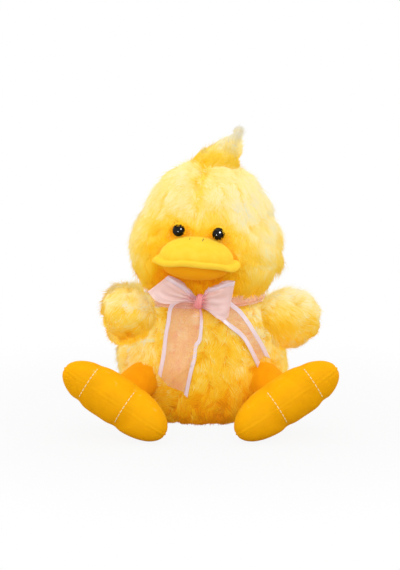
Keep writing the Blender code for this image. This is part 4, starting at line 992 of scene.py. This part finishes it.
def wing_rings(side, inset, levels=44, sides=40):
    """A paddle carried along a quadratic curve that leaves the body square and ends along its heading."""
    length = WING_LENGTH[side]
    lean = np.linspace(-math.acos(0.55), 0.0, 5)[:-1]
    ball = [(WING_ROOT * math.sin(a), WING_ROOT * math.cos(a), WING_ROOT * math.cos(a)) for a in lean]
    blade = [(s * length, c * WING_CHORD / 2, t * WING_THICKNESS / 2) for s, c, t in WING_SHARES]
    rows = np.array(ball + [tuple(r) for r in smooth_curve([(0.0, WING_ROOT, WING_ROOT)] + blade, levels)])
    shoulder = np.array(SHOULDERS[side])
    heading, droop = WING_HEADING[side], WING_DROOP[side]
    aim = np.array((math.cos(heading) * math.cos(droop), math.sin(heading) * math.cos(droop), -math.sin(droop)))
    level_way = np.array((-math.sin(heading), math.cos(heading), 0.0))
    start = BODY.normal(shoulder)
    share = np.maximum(rows[:, :1], 0.0) / length
    bend = length * 0.45
    centre = (2 * share * (1 - share) * start * bend + share**2 * aim * length
              + start * np.minimum(rows[:, :1], 0.0))
    way = unit((1 - share) * start * bend + share * (aim * length - start * bend))
    flat = unit(level_way - (way @ level_way)[:, None] * way)
    tall = np.cross(way, flat)
    x, y = superellipse(sides, 2.0)
    front, back, under = (0.75, 0.12, 0.06) if side == "left" else (0.10, 0.0, 0.16)
    inner = 1 + front * np.maximum(x, 0.0) - back * np.maximum(-x, 0.0)
    lower = 1 + under * np.maximum(-y, 0.0)
    rings = (shoulder + centre[:, None] + rows[:, None, 2:3] * (x * inner)[:, None] * flat[:, None]
             + rows[:, None, 1:2] * (y * lower)[:, None] * tall[:, None])
    rings = np.concatenate((np.repeat(rings[:1].mean(axis=1, keepdims=True), sides, axis=1), rings))
    return Skin(rings).shrunk(inset).points, shoulder, aim


class DUCK_OT_wings(Operator):
    """Wings: short padded paddles at the shoulders, with pile swept to their tips."""

    bl_idname = "duck.wings"
    bl_label = "Wings"

    def execute(self, context):
        sizes = context.scene.duck_sizes
        for index, side in enumerate(SIDES):
            points, shoulder, aim = wing_rings(side, sizes.backing_inset)
            grow = np.maximum(1.0, 1.004 / BODY.depth(points[7:]))
            points[7:, :, :2] *= grow[:, :, None]
            body = "wing_" + side
            nodes = ("wing_skin_" + side, "wing_stuffing_" + side)
            pile_cloth("wing_cloth_" + side, points, body, nodes, 0.6)

            def length(places):
                outside = BODY.depth(places)
                reach = (places - shoulder) @ aim
                full = sizes.pile_length * (0.95 - 0.35 * mixed(0.015, 0.038, reach))
                full = full * (1 + 0.35 * mixed(0.002, 0.014, places[:, 2] - shoulder[2]))
                return np.where(outside < 1.01, 0.0, full * (0.5 + 0.5 * mixed(1.0, 1.10, outside)))

            def comb(places):
                return np.repeat((aim + np.array((0.0, 0.0, -0.35)))[None], len(places), axis=0)

            def tone(places, out):
                reach = (places - shoulder) @ aim
                low = 0.38 if side == "left" else 0.44
                # Painted light: paler where the wing faces up; paler out towards its tip.
                painted_top_light_and_paler_tip = 0.30 * mixed(-0.2, 0.9, out[:, 2]) + 0.08 * mixed(0.010, 0.040, reach)
                return low + painted_top_light_and_paler_tip + 0.07 * drift(places, 24 * MM, 6)

            hairs("wing_pile_" + side, Skin(points[5:]), body, sizes.wing_hairs, 15, length, comb, tone,
                  seed=71 + index, contrast=1.6)
        return {"FINISHED"}


def foot_outline(count):
    """The webbed outline as x, y from the foot's middle, anticlockwise seen from above."""
    right = smooth_curve(FOOT_SHARES, count // 2 + 1)
    left = right[1:-1][::-1] * np.array((-1.0, 1.0))
    outline = np.concatenate((right, left))[::-1]
    return outline[:, 0] * FOOT_SIZE[0] / 2, (FOOT_CENTRE_SHARE - outline[:, 1]) * FOOT_SIZE[1]


def foot_sign(side):
    """Which way along X is outward."""
    return -1.0 if side == "left" else 1.0


def foot_rise(x, y, draw, side_up, sign):
    """Height of the pad where the outline is drawn in: a round section, pinched at the toe channels
    and thinner at the heel."""
    forward = -y / FOOT_SIZE[1]
    ahead = np.clip((forward + 0.12) / 0.30, 0.0, 1.0)
    channels = bump(sign * x - TOE_LINES[0][0], 0.0050) + bump(sign * x - TOE_LINES[1][0], 0.0050)
    toes = 1 - 0.09 * channels * ahead
    heel = 1 - 0.28 * np.clip(-forward / FOOT_CENTRE_SHARE, 0.0, 1.0)
    return side_up * np.sqrt(np.maximum(1 - draw ** (2 / FOOT_PLUMPNESS), 0.0)) * FOOT_SIZE[2] / 2 * toes * heel


def foot_frame(side):
    """The foot's turn and place in the row frame, its lowest point just under the floor."""
    sign = foot_sign(side)
    turn = np.array(Euler((-FOOT_PITCH, -sign * FOOT_ROLL, sign * FOOT_YAW), "YXZ").to_matrix())
    points = foot_rings(0.0, sign).reshape(-1, 3) @ turn.T
    return turn, np.array((sign * FOOT_SPREAD[side], -FOOT_FORWARD, -points[:, 2].min() + 0.4 * MM))


def foot_rings(seam, sign):
    """The pad's rings from the sole's middle to the top's, with a sewn ridge between two hollows round its
    edge."""
    x, y = foot_outline(120)
    lean = np.linspace(-math.pi / 2, math.pi / 2, 65)
    draw = np.maximum(np.cos(lean), 0.0)[:, None] ** FOOT_PLUMPNESS
    groove = 1 + seam * (0.8 * bump(lean, 0.022) - bump(np.abs(lean) - 0.075, 0.030))[:, None]
    rings = np.zeros((len(lean), len(x), 3))
    rings[:, :, 0], rings[:, :, 1] = draw * x * groove, draw * y * groove
    rings[:, :, 2] = foot_rise(draw * x, draw * y, draw, np.sign(lean)[:, None], sign)
    return rings


def toe_stitches(side):
    """Threads across each toe line: from the top, over the pad's edge and a way under it, as separate
    stitches. A place with x and y lies on the pad where the outline, drawn in to its radius, has it."""
    turn, place = foot_frame(side)
    sign = foot_sign(side)
    x, y = foot_outline(480)
    angle, reach = np.arctan2(y, x), np.hypot(x, y)
    order = np.argsort(angle)
    rim = np.argsort(x[y < 0])
    points, faces = [], []
    for out, start, end in TOE_LINES:
        front = np.interp(sign * out, x[y < 0][rim], y[y < 0][rim])
        for number in range(TOE_STITCHES):
            share = (number + np.linspace(0.06, 0.80, 9)) / TOE_STITCHES
            bend = start + (end - start) * share
            heading = np.full(9, sign * out)
            depth = front * np.cos(bend * 0.5) ** 1.1
            draw = np.hypot(heading, depth) / np.interp(np.arctan2(depth, heading), angle[order], reach[order],
                                                        period=2 * math.pi)
            draw = np.minimum(draw, 1.0)
            rise = foot_rise(heading, depth, draw, np.where(bend < 0, 1.0, -1.0), sign)
            path = np.stack((heading, depth, rise), axis=1)
            path = path + unit(path * np.array((0.2, 1.0, 2.2))) * 0.25 * MM
            tube, quads = tube_points(path @ turn.T + place, 0.42 * MM)
            faces.append(quads + sum(len(p) for p in points))
            points.append(tube)
    made = add_mesh("toe_stitches_" + side, np.concatenate(points), np.concatenate(faces),
                    materials()["cotton_thread"])
    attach(made, "leg_" + side)


class DUCK_OT_feet(Operator):
    """Legs and feet: short orange velour sleeves, and puffy golden pads with a sewn edge and two lines
    of cream toe stitching over each."""

    bl_idname = "duck.feet"
    bl_label = "Legs and Feet"

    def execute(self, context):
        for side in SIDES:
            body = "leg_" + side
            turn, place = foot_frame(side)
            pad = foot_rings(0.012, foot_sign(side)) @ turn.T + place
            foot = stuffed("foot_cloth_" + side, pad, "golden_velour", body,
                           ("foot_skin_" + side, "foot_stuffing_" + side))
            lean = np.linspace(-math.pi / 2, math.pi / 2, 65)[1:-1]
            # Painted light and shade on the pad: a painted highlight along the seam's ridge, paler over the top and
            # deeper under the sole.
            nap = 0.22 * bump(lean, 0.030) + 0.20 * mixed(0.1, 0.8, lean) - 0.20 * mixed(0.02, 0.12, -lean)
            layer = foot.data.attributes.new("nap", "FLOAT", "POINT")
            values = np.concatenate((np.repeat(nap, 120), (0.0, 0.0)))
            layer.data.foreach_set("value", values.astype(np.float32))
            toe_stitches(side)
            hip = np.array(HIPS[side])
            aim = place - hip
            reach = np.linalg.norm(aim)
            way = aim / reach
            lean = np.linspace(-math.acos(0.6), 0.0, 7)
            rows = [(0.0, -LEG_ROOT * 0.6)] + [(LEG_ROOT * math.cos(a), LEG_ROOT * math.sin(a)) for a in lean]
            rows += [(LEG_RADIUS - 0.0004, 0.010), (LEG_RADIUS - 0.0008, 0.020), (LEG_RADIUS, 0.032),
                     (LEG_RADIUS, 0.046), (LEG_RADIUS * 0.7, 0.052), (0.0, 0.054)]
            rings = turned(rows, 48)
            across = unit(np.cross(way, np.array((0.0, 0.0, 1.0))))
            over = np.cross(across, way)
            points = hip + rings[:, :, 0:1] * across + rings[:, :, 1:2] * over + rings[:, :, 2:3] * way
            flip = np.linalg.det(np.stack((across, over, way))) < 0
            # Orange velour, deeper than the feet's: partly dye, partly painted shade of the crease under the body.
            stuffed("leg_cloth_" + side, points[:, ::-1] if flip else points, "orange_velour", body,
                    ("leg_sleeve_" + side, "leg_stuffing_" + side))
        return {"FINISHED"}


class DUCK_OT_tail(Operator):
    """Tail: a small padded point at the back under long pile."""

    bl_idname = "duck.tail"
    bl_label = "Tail"

    def execute(self, context):
        shares = smooth_curve(((0.0, 1.0), (0.25, 0.97), (0.50, 0.82), (0.72, 0.58), (0.88, 0.34), (0.97, 0.16),
                               (1.0, 0.0)), 24)
        x, y = superellipse(36, 2.0)
        rings = np.zeros((25, 36, 3))
        rings[1:, :, 0] = shares[:, 1:2] * x * 0.0440 / 2
        rings[1:, :, 1] = shares[:, 1:2] * y * 0.0280 / 2
        rings[1:, :, 2] = shares[:, 0:1] * 0.0420
        lean = np.array(Euler((math.radians(-58.0), 0.0, 0.0)).to_matrix())
        back = -float(BODY.front(0.0, 0.042))
        start = np.array((0.0, back, 0.042)) - lean @ np.array((0.0, 0.0, 0.008))
        points = Skin(rings).shrunk(3.0 * MM).points @ lean.T + start
        pile_cloth("tail_cloth", points, "body", ("tail",), 0.6)
        tip = points[-1].mean(axis=0)

        def length(places):
            return np.where(BODY.depth(places) < 1.0, 0.0, 0.0105)

        def comb(places):
            return tip + np.array((0.0, 0.02, 0.004)) - places

        def tone(places, out):
            # Painted light: paler where the tail faces up.
            return 0.42 + 0.15 * out[:, 2] + 0.1 * drift(places, 20 * MM, 4)

        count = context.scene.duck_sizes.tail_hairs
        hairs("tail_pile", Skin(points[2:]), "body", count, 15, length, comb, tone,
              lean=1.05, seed=91)
        return {"FINISHED"}


# Ribbon

KNOT = np.array((-0.0035, -0.0580, 0.1265))
STRIP, STRIP_LIMIT, STRIP_COLUMNS = 3.8 * MM, 0.42, 6
NECKBAND_STANDOFF, NECKBAND_HEIGHTS = 2.6 * MM, (0.1190, 0.1205, 0.1275, 0.1290)
TAIL_EDGES = {
    "left": (((-6.5, 127.5), (-21.6, 127.3), (-29.9, 124.2), (-33.3, 119.7), (-35.4, 107.9), (-38.0, 94.0),
              (-40.3, 75.0), (-43.6, 58.3), (-46.5, 41.3)),
             ((-2.5, 121.0), (-0.8, 114.6), (-0.3, 109.3), (-0.6, 98.7), (-2.0, 89.3), (-5.3, 84.3), (-6.5, 73.9),
              (-10.3, 59.1), (-15.2, 34.1))),
    "right": (((-2.4, 121.0), (6.7, 115.9), (14.8, 110.6), (24.5, 102.6), (37.6, 91.0), (44.0, 81.0), (53.2, 61.0)),
              ((-1.1, 126.2), (12.6, 127.3), (24.4, 126.0), (31.2, 121.3), (37.7, 115.7), (45.8, 105.2), (54.0, 91.9),
               (59.7, 81.6), (66.1, 67.2))),
}
TAIL_ENDS = {"left": ((0.0, 0.86), (0.37, 0.94), (0.85, 0.95), (0.87, 0.975), (1.0, 1.0)),
             "right": ((0.0, 1.0), (0.35, 0.95), (0.72, 0.935), (1.0, 1.0))}
LOOP_EDGES = {
    "left": (((-7.1, 131.5), (-17.5, 142.6), (-25.5, 148.3), (-33.6, 152.9)),
             ((-7.5, 124.5), (-18.0, 126.6), (-30.0, 126.0), (-38.9, 126.6), (-46.9, 130.1), (-53.3, 137.3))),
    "right": (((-0.5, 132.0), (4.8, 139.9), (12.9, 143.1), (20.5, 146.0), (30.8, 147.6)),
              ((-0.8, 122.5), (6.7, 116.7), (14.8, 111.3), (19.3, 110.1), (24.5, 112.6))),
}


def strip_shares(width):
    """Where the sheer middle and the two satin strips start and end, as shares of the ribbon's width.
    The strips lap the middle by half a millimetre, and none takes more than its limit of the width."""
    lap, strip = (np.minimum(size / width, STRIP_LIMIT) for size in (STRIP - 0.5 * MM, STRIP))
    return (lap, 1 - lap), (0 * width, strip), (1 - strip, 1 + 0 * width)


class Ribbon:
    """A ribbon between two edges drawn in X and Z, with its depth from a function. A place on it is a
    share along (0 at the knot) and a share across. Each column ends at its own share, as it is cut."""

    def __init__(self, edges, ends, depth):
        self.edges = [smooth_curve(np.array(edge) * MM, 160) for edge in edges]
        self.ends, self.depth = np.array(ends), depth

    def flat(self, along, across):
        """X and Z of places: a straight line across between the two edges."""
        steps = np.linspace(0.0, 1.0, 160)
        first, second = (np.stack([np.interp(along, steps, edge[:, axis]) for axis in (0, 1)], axis=-1)
                         for edge in self.edges)
        return first + (second - first) * across[..., None]

    def rows(self, part, steps, columns):
        """The grid of one part of the ribbon, 0 for the sheer middle and 1 and 2 for the strips."""
        along = np.linspace(0.0, 1.0, steps)[:, None] * np.ones(columns)
        sides = self.flat(along[:, 0], np.zeros(steps)) - self.flat(along[:, 0], np.ones(steps))
        first, last = (share[:, None] for share in strip_shares(np.linalg.norm(sides, axis=1))[part])
        across = first + (last - first) * np.linspace(0.0, 1.0, columns)
        along = along * np.interp(across, self.ends[:, 0], self.ends[:, 1])
        place = self.flat(along, across)
        return np.stack((place[..., 0], self.depth(along, across, place), place[..., 1]), axis=-1)


def sheet_mesh(name, rows, thickness, material):
    """A thin closed sheet from rows of points: both faces stand half the thickness off the middle."""
    steps, columns = rows.shape[:2]
    lift = unit(np.cross(np.gradient(rows, axis=0), np.gradient(rows, axis=1))) * thickness / 2
    rings = np.concatenate((rows + lift, (rows - lift)[:, ::-1]), axis=1)
    sides = 2 * columns
    c = np.arange(columns - 1)
    start = np.stack((c, c + 1, sides - 2 - c, sides - 1 - c), 1)
    end = (steps - 1) * sides + start[:, ::-1]
    across = np.concatenate((np.linspace(0.02, 0.48, columns), np.linspace(0.98, 0.52, columns)))
    chart = np.stack(np.broadcast_arrays(across, np.linspace(0.02, 0.98, steps)[:, None]), axis=-1)
    faces = np.concatenate((grid_faces(steps, sides)[:, ::-1], start, end))
    made = add_mesh(name, rings.reshape(-1, 3), faces, material, chart.reshape(-1, 2))
    made.visible_shadow = False
    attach(made, "body")
    return made


def ribbon_pieces(name, parts, node, cloth="pink_organza", edges=("satin_selvedge",) * 2):
    """Put in a stretch of ribbon: the sheer middle with its satin strips."""
    found = materials()
    sheer = sheet_mesh(name, parts[0], 0.16 * MM, found[cloth])
    strips = [sheet_mesh(name + "_edge_" + end, rows, 0.36 * MM, found[edge])
              for end, rows, edge in zip(("first", "second"), parts[1:], edges)]
    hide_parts(node)


def tail_depth(side):
    """A tail's Y: it leaves the knot and comes to rest on the pile, with gathers that fade and slow waves."""
    def depth(along, across, place):
        x, z = place[..., 0], place[..., 1]
        rest = BODY.front(x, z) - 5.0 * MM
        leave = mixed(0.0, 0.28, along)
        gather = 1.3 * MM * (1 - leave) * np.sin(across * 16 + along * 9)
        wave = 0.9 * MM * np.sin(along * 13 + across * 2.4) * leave
        if side == "left":
            fold = bump((across - 0.97 + (along - 0.60) * 1.9) * 0.038, 0.0012) * mixed(0.58, 0.66, along)
            wave = wave - 1.9 * MM * fold
        return np.minimum(rest, (KNOT[1] + 1.5 * MM) * (1 - leave) + rest * leave) + gather + wave
    return depth


def loop_rows(side, part, steps, columns):
    """One part of a loop: out along the two edges, round its fold and back, with the layers bulged
    apart. The turn runs evenly and its cosine gives how far out a row is."""
    turn = np.linspace(-2.75, 2.75, steps)[:, None] * np.ones(columns)
    out = (1 + np.cos(turn)) / 2
    out = (out - out.min()) / (1 - out.min())
    first, last = (smooth_curve(np.array(edge) * MM, 160) for edge in LOOP_EDGES[side])
    grid = np.linspace(0.0, 1.0, 160)
    top = np.stack([np.interp(out, grid, first[:, axis]) for axis in (0, 1)], axis=-1)
    foot = np.stack([np.interp(out, grid, last[:, axis]) for axis in (0, 1)], axis=-1)
    start, end = strip_shares(np.linalg.norm(top - foot, axis=-1)[:, :1])[part]
    across = start + (end - start) * np.linspace(0.0, 1.0, columns)
    place = top + (foot - top) * across[..., None]
    behind = mixed(0.0, 2.0, turn)
    gather = 1.7 * MM * (1 - out) ** 1.1 * np.sin(across * 24 + turn * 1.5)
    dent = 5.0 * MM * np.sin(across * 8.0 + out * 5.0) * out * (1 - out)
    y = KNOT[1] - 5.9 * MM + 7.5 * MM * np.sin(turn) * np.sqrt(np.clip(out, 0, 1)) + gather + dent
    y = y + 4.0 * MM * (1 - out)
    z = place[..., 1] + behind * out * 1.6 * MM
    return np.stack((place[..., 0], y, z), axis=-1)


def neckband(name, low, high, thickness, count, material):
    """A closed ring round the neck: rows up the outside of the gathered band and down its inside, off
    the body's form by the standoff and by the sum of two sines round it, its pleats."""
    sides = 200
    turn = np.linspace(0.0, 2 * math.pi, sides, endpoint=False)
    x, y = superellipse(sides, BODY_SQUARENESS)
    rows = []
    for standoff, order in ((NECKBAND_STANDOFF + thickness, 1), (NECKBAND_STANDOFF, -1)):
        for height in np.linspace(low, high, count)[::order]:
            pleat = 0.7 * MM * np.sin(22 * turn + height * 400) + 0.5 * MM * np.sin(41 * turn + 1.0)
            reach = BODY.share(height) + 0 * turn
            rows.append(np.stack(((BODY_SIZE[0] / 2 * reach + standoff + pleat) * x,
                                  (BODY_SIZE[1] / 2 * reach + standoff + pleat) * y,
                                  height + 1.0 * MM * x), axis=1))
    levels = len(rows)
    faces = grid_faces(levels + 1, sides) % (levels * sides)
    across = np.linspace(0.02, 0.98, levels)[:, None]
    chart = np.stack(np.broadcast_arrays(np.linspace(0.02, 0.98, sides), across), -1)
    made = add_mesh(name, np.array(rows).reshape(-1, 3), faces, material, chart.reshape(-1, 2))
    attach(made, "body")
    return made


class DUCK_OT_ribbon(Operator):
    """Ribbon: sheer organza with satin edges, gathered round the neck, knotted, with two loops and two
    cut tails lying on the belly."""

    bl_idname = "duck.ribbon"
    bl_label = "Ribbon"

    def execute(self, context):
        found = materials()
        tails = {"left": ((0.0314, 0.100), 100, 34), "right": ((0.0125, 0.086), 90, 28)}
        for side, (flat, steps, columns) in tails.items():
            ribbon = Ribbon(TAIL_EDGES[side], TAIL_ENDS[side], tail_depth(side))
            parts = [ribbon.rows(part, steps, count)
                     for part, count in enumerate((columns, STRIP_COLUMNS, STRIP_COLUMNS))]
            ribbon_pieces("ribbon_tail_" + side, parts, "bow_tail_" + side)
        for side in SIDES:
            parts = [loop_rows(side, part, 110, count)
                     for part, count in enumerate((30, STRIP_COLUMNS, STRIP_COLUMNS))]
            ribbon_pieces("ribbon_loop_" + side, parts,
                          "bow_loop_" + side, "doubled_organza", ("satin_selvedge", "doubled_organza"))

        bottom, low, high, top = NECKBAND_HEIGHTS
        cloth = found["neck_organza"]
        sheer = neckband("ribbon_neckband", low, high, 0.3 * MM, 8, cloth)
        strips = [neckband("ribbon_neckband_low", bottom, low, 0.6 * MM, 3, cloth),
                  neckband("ribbon_neckband_high", high, top, 0.6 * MM, 3, cloth)]
        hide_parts("ribbon_collar")

        tilt = np.linspace(-math.pi / 2, math.pi / 2, 33)
        x, y = superellipse(56, 2.5)
        turn = np.linspace(0.0, 2 * math.pi, 56, endpoint=False)
        draw = np.maximum(np.cos(tilt), 0.0)[:, None] ** 0.72
        ridge = 1 + 0.16 * np.sin(9 * turn + 3.0 * np.sin(tilt)[:, None]) * draw
        rings = np.stack((draw * x * 0.0045 * ridge + 0.0010 * np.sin(tilt * 2)[:, None],
                          draw * y * 0.0036 * ridge,
                          np.sin(tilt)[:, None] * 0.0074 * np.ones(56)), axis=2)
        knot = closed_skin("ribbon_knot", rings + KNOT, found["gathered_organza"])
        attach(knot, "body")
        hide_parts("bow_knot")
        return {"FINISHED"}


# Stage

def shown_white(tree):
    """1 for rays that show the background itself: the camera's, and those that gloss or glass sends on."""
    ray = add_node(tree, "ShaderNodeLightPath").outputs
    largest = {"operation": "MAXIMUM"}
    seen = add_node(tree, "ShaderNodeMath", largest, {0: ray["Is Camera Ray"], 1: ray["Is Glossy Ray"]})
    return add_node(tree, "ShaderNodeMath", largest, {0: seen.outputs[0], 1: ray["Is Transmission Ray"]})


class DUCK_OT_stage(Operator):
    """Stage: a floor that pales to white, a white world, five softboxes, two small lamps that only
    gloss shows, and the camera at the photograph's angle."""

    bl_idname = "duck.stage"
    bl_label = "Stage"

    def execute(self, context):
        scene = context.scene
        sizes = scene.duck_sizes
        tree, shader = new_material("matt_white_floor", {"Roughness": 0.9, "Specular IOR Level": 0.1,
                                                         "Base Color": (0.52, 0.52, 0.52, 1.0)})
        seen = shown_white(tree)
        place = add_node(tree, "ShaderNodeTexCoord").outputs["Object"]
        reach = add_node(tree, "ShaderNodeVectorMath", {"operation": "LENGTH"}, {"Vector": place})
        away = add_rise(tree, reach.outputs["Value"], 0.16, 0.42, (0.91, 1.0))
        share = add_node(tree, "ShaderNodeMath", {"operation": "MULTIPLY"}, {0: seen.outputs[0], 1: away})
        white = add_node(tree, "ShaderNodeEmission", {"Color": WHITE, "Strength": 1.0})
        mix = add_node(tree, "ShaderNodeMixShader",
                       links={0: share.outputs[0], 1: shader.outputs[0], 2: white.outputs[0]})
        tree.links.new(mix.outputs[0], tree.nodes["Material Output"].inputs["Surface"])
        corners = np.array(((-6, -6, 0), (6, -6, 0), (6, 6, 0), (-6, 6, 0)), float)
        floor = add_mesh("floor", corners, np.array(((0, 1, 2, 3),)), bpy.data.materials["matt_white_floor"],
                         smooth=False)

        world = bpy.data.worlds.new("studio")
        scene.world = world
        world.use_nodes = True
        tree = world.node_tree
        tree.nodes.clear()
        seen = shown_white(tree)
        dim = add_node(tree, "ShaderNodeBackground", {"Color": WHITE, "Strength": sizes.world_light})
        bright = add_node(tree, "ShaderNodeBackground", {"Color": WHITE, "Strength": 1.0})
        mix = add_node(tree, "ShaderNodeMixShader",
                       links={0: seen.outputs[0], 1: dim.outputs[0], 2: bright.outputs[0]})
        add_node(tree, "ShaderNodeOutputWorld", links={"Surface": mix.outputs[0]})

        aim = Vector((0.0, 0.0, 0.140))
        for name, place, size, energy in (
            ("key_softbox", (0.60, -1.50, 1.20), 1.6, sizes.key_light),
            ("fill_softbox", (-1.15, -1.35, 0.45), 1.6, sizes.fill_light),
            ("top_softbox", (-0.10, -0.10, 1.60), 1.3, sizes.top_light),
            ("left_rim_softbox", (-1.20, 0.75, 0.60), 1.2, sizes.rim_light),
            ("right_rim_softbox", (1.20, 0.75, 0.60), 1.2, sizes.rim_light),
            ("catch_light", (0.67, -1.43, 1.32), 0.42, sizes.catch_light),
            ("low_catch_light", (-0.83, -1.77, 0.22), 0.30, sizes.catch_light * 0.4),
        ):
            lamp = bpy.data.lights.new(name, "AREA")
            lamp.size, lamp.energy = size, energy
            light = bpy.data.objects.new(name, lamp)
            scene.collection.objects.link(light)
            light.location = place
            light.visible_diffuse = "catch" not in name
            light.rotation_euler = (aim - Vector(place)).to_track_quat("-Z", "Y").to_euler()

        lens = bpy.data.cameras.new("camera")
        lens.sensor_fit, lens.sensor_height = "VERTICAL", 36.0
        lens.lens = 36.0 * sizes.camera_distance / 0.570
        lens.clip_start, lens.clip_end = 0.05, 30.0
        camera = bpy.data.objects.new("camera", lens)
        scene.collection.objects.link(camera)
        tilt = sizes.camera_elevation
        target = Vector((-0.003, 0.0, 0.132))
        camera.location = target + Vector((0.0, -math.cos(tilt), math.sin(tilt))) * sizes.camera_distance
        camera.rotation_euler = (math.pi / 2 - tilt, 0.0, 0.0)
        scene.camera = camera
        scene.view_settings.view_transform = "Standard"
        return {"FINISHED"}


def length_setting(name, description, default):
    """A length in metres."""
    return FloatProperty(name=name, description=description, default=default, unit="LENGTH")


def count_setting(name, description, default):
    """A whole number of hairs."""
    return IntProperty(name=name, description=description, default=default)


def power_setting(name, description, default):
    """A lamp's power in watts."""
    return FloatProperty(name=name, description=description, default=default, unit="POWER")


class DuckSizes(PropertyGroup):
    """Sizes, counts and light levels that a user would change."""

    pile_length: length_setting("Pile Length", "Length of the longest hair", 0.0140)
    backing_inset: length_setting("Backing Inset", "How far the cloth lies inside the packed form", 0.0030)
    body_hairs: count_setting("Body Hairs", "Hairs on each quarter of the body", 28000)
    head_hairs: count_setting("Head Hairs", "Hairs on each quarter of the head", 29000)
    wing_hairs: count_setting("Wing Hairs", "Hairs on each wing", 25000)
    crest_hairs: count_setting("Crest Hairs", "Hairs on the tuft", 15000)
    tail_hairs: count_setting("Tail Hairs", "Hairs on the tail", 9000)
    camera_distance: length_setting("Camera Distance", "From the camera to the duck's middle", 2.0)
    camera_elevation: FloatProperty(name="Camera Elevation", subtype="ANGLE", default=math.radians(10.5),
                                    description="How far above level the camera looks from")
    key_light: power_setting("Key Light", "Power of the front softbox", 8.4)
    fill_light: power_setting("Fill Light", "Power of the side softbox", 5.7)
    top_light: power_setting("Top Light", "Power of the overhead softbox", 6.3)
    rim_light: power_setting("Rim Light", "Power of each softbox behind the duck's sides", 6.5)
    catch_light: power_setting("Catch Light", "Power of the small lamp that the eyes show", 110.0)
    world_light: FloatProperty(name="World Light", description="Strength of the white surround", default=0.71)


def colour_setting(name, description, code):
    """A colour property with its default given as sRGB hex."""
    return FloatVectorProperty(name=name, description=description, subtype="COLOR", default=linear(code),
                               min=0, max=1)


class DuckColours(PropertyGroup):
    """Dyes and finishes that a user would change."""

    root_deep: colour_setting("Deep Root", "Pile at its root in the deepest gold", "#FA9206")
    root_mid: colour_setting("Root", "Pile at its root", "#FCB70F")
    root_pale: colour_setting("Pale Root", "Pile at its root where it is palest", "#FFE68E")
    tip_deep: colour_setting("Deep Tip", "Hair tip in the deepest gold", "#F89A04")
    tip_gold: colour_setting("Gold Tip", "Hair tip low on the body", "#FFC00A")
    tip_mid: colour_setting("Tip", "Hair tip on the belly and face", "#FFD54C")
    tip_light: colour_setting("Light Tip", "Hair tip on the crown", "#FBEAAA")
    tip_pale: colour_setting("Pale Tip", "Hair tip at the end of the tuft", "#E3DDC8")
    # On the feet the nap attribute also blends these as painted light on top and painted shade under the sole.
    velour_light: colour_setting("Velour", "Feet where the nap stands", "#F9B004")
    velour_deep: colour_setting("Velour Shade", "Feet where the nap leans", "#F1A402")
    bill_light: colour_setting("Bill", "Bill where the nap stands", "#FFD444")
    bill_deep: colour_setting("Bill Shade", "Bill where the nap leans", "#F9C62A")
    # The legs' orange is deeper than the feet's gold: partly their dye and partly painted shade of the crease under
    # the body.
    orange_light: colour_setting("Orange Velour", "Legs where the nap stands", "#FDA506")
    orange_deep: colour_setting("Orange Shade", "Legs where the nap leans", "#F59403")
    lower_bill_light: colour_setting("Lower Bill", "Lower bill where the nap stands", "#FFB41C")
    lower_bill_deep: colour_setting("Lower Bill Shade", "Lower bill where the nap leans", "#FFA60A")
    thread: colour_setting("Thread", "Toe stitching", "#FBE7A8")
    nostril: colour_setting("Nostril Thread", "Small stitches on the bill", "#5E5A10")
    eye: colour_setting("Eyes", "Moulded eyes", "#0A0806")
    washer: colour_setting("Washers", "Locking washers", "#E4E2DA")
    fibre: colour_setting("Fibre", "Polyester filling", "#F2F0E8")
    organza: colour_setting("Organza", "Sheer ribbon", "#FBC9B8")
    doubled: colour_setting("Doubled Organza", "Ribbon of the loops, folded over itself", "#FFE2DE")
    # Deep for many layers, and painted shade in the knot's creases.
    knot: colour_setting("Knot", "Ribbon gathered many layers thick", "#F28A8C")
    selvedge: colour_setting("Selvedge", "The ribbon's satin edges", "#F7E6F0")


class DUCK_PT_panel(Panel):
    """Sizes, colours and the pieces, in order."""

    bl_idname = "DUCK_PT_panel"
    bl_label = "Plush Duck"
    bl_space_type = "VIEW_3D"
    bl_region_type = "UI"
    bl_category = "Plush Duck"

    def draw(self, context):
        for group in (context.scene.duck_sizes, context.scene.duck_colours):
            for name in group.bl_rna.properties.keys():
                if name not in ("rna_type", "name"):
                    self.layout.prop(group, name)
        for operator in OPERATORS:
            self.layout.operator(operator.bl_idname)


OPERATORS = (DUCK_OT_body, DUCK_OT_head, DUCK_OT_crest, DUCK_OT_eyes, DUCK_OT_bill, DUCK_OT_wings, DUCK_OT_feet,
             DUCK_OT_tail, DUCK_OT_ribbon, DUCK_OT_stage)
CLASSES = (DuckSizes, DuckColours, *OPERATORS, DUCK_PT_panel)


def register():
    """Make the settings, the operators and the panel known to Blender."""
    for item in CLASSES:
        bpy.utils.register_class(item)
    bpy.types.Scene.duck_sizes = PointerProperty(type=DuckSizes)
    bpy.types.Scene.duck_colours = PointerProperty(type=DuckColours)


def unregister():
    """Take them away again."""
    del bpy.types.Scene.duck_sizes
    del bpy.types.Scene.duck_colours
    for item in reversed(CLASSES):
        bpy.utils.unregister_class(item)


def main():
    """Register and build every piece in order."""
    register()
    for operator in OPERATORS:
        getattr(bpy.ops.duck, operator.bl_idname.split(".")[1])()


if __name__ == "__main__":
    main()
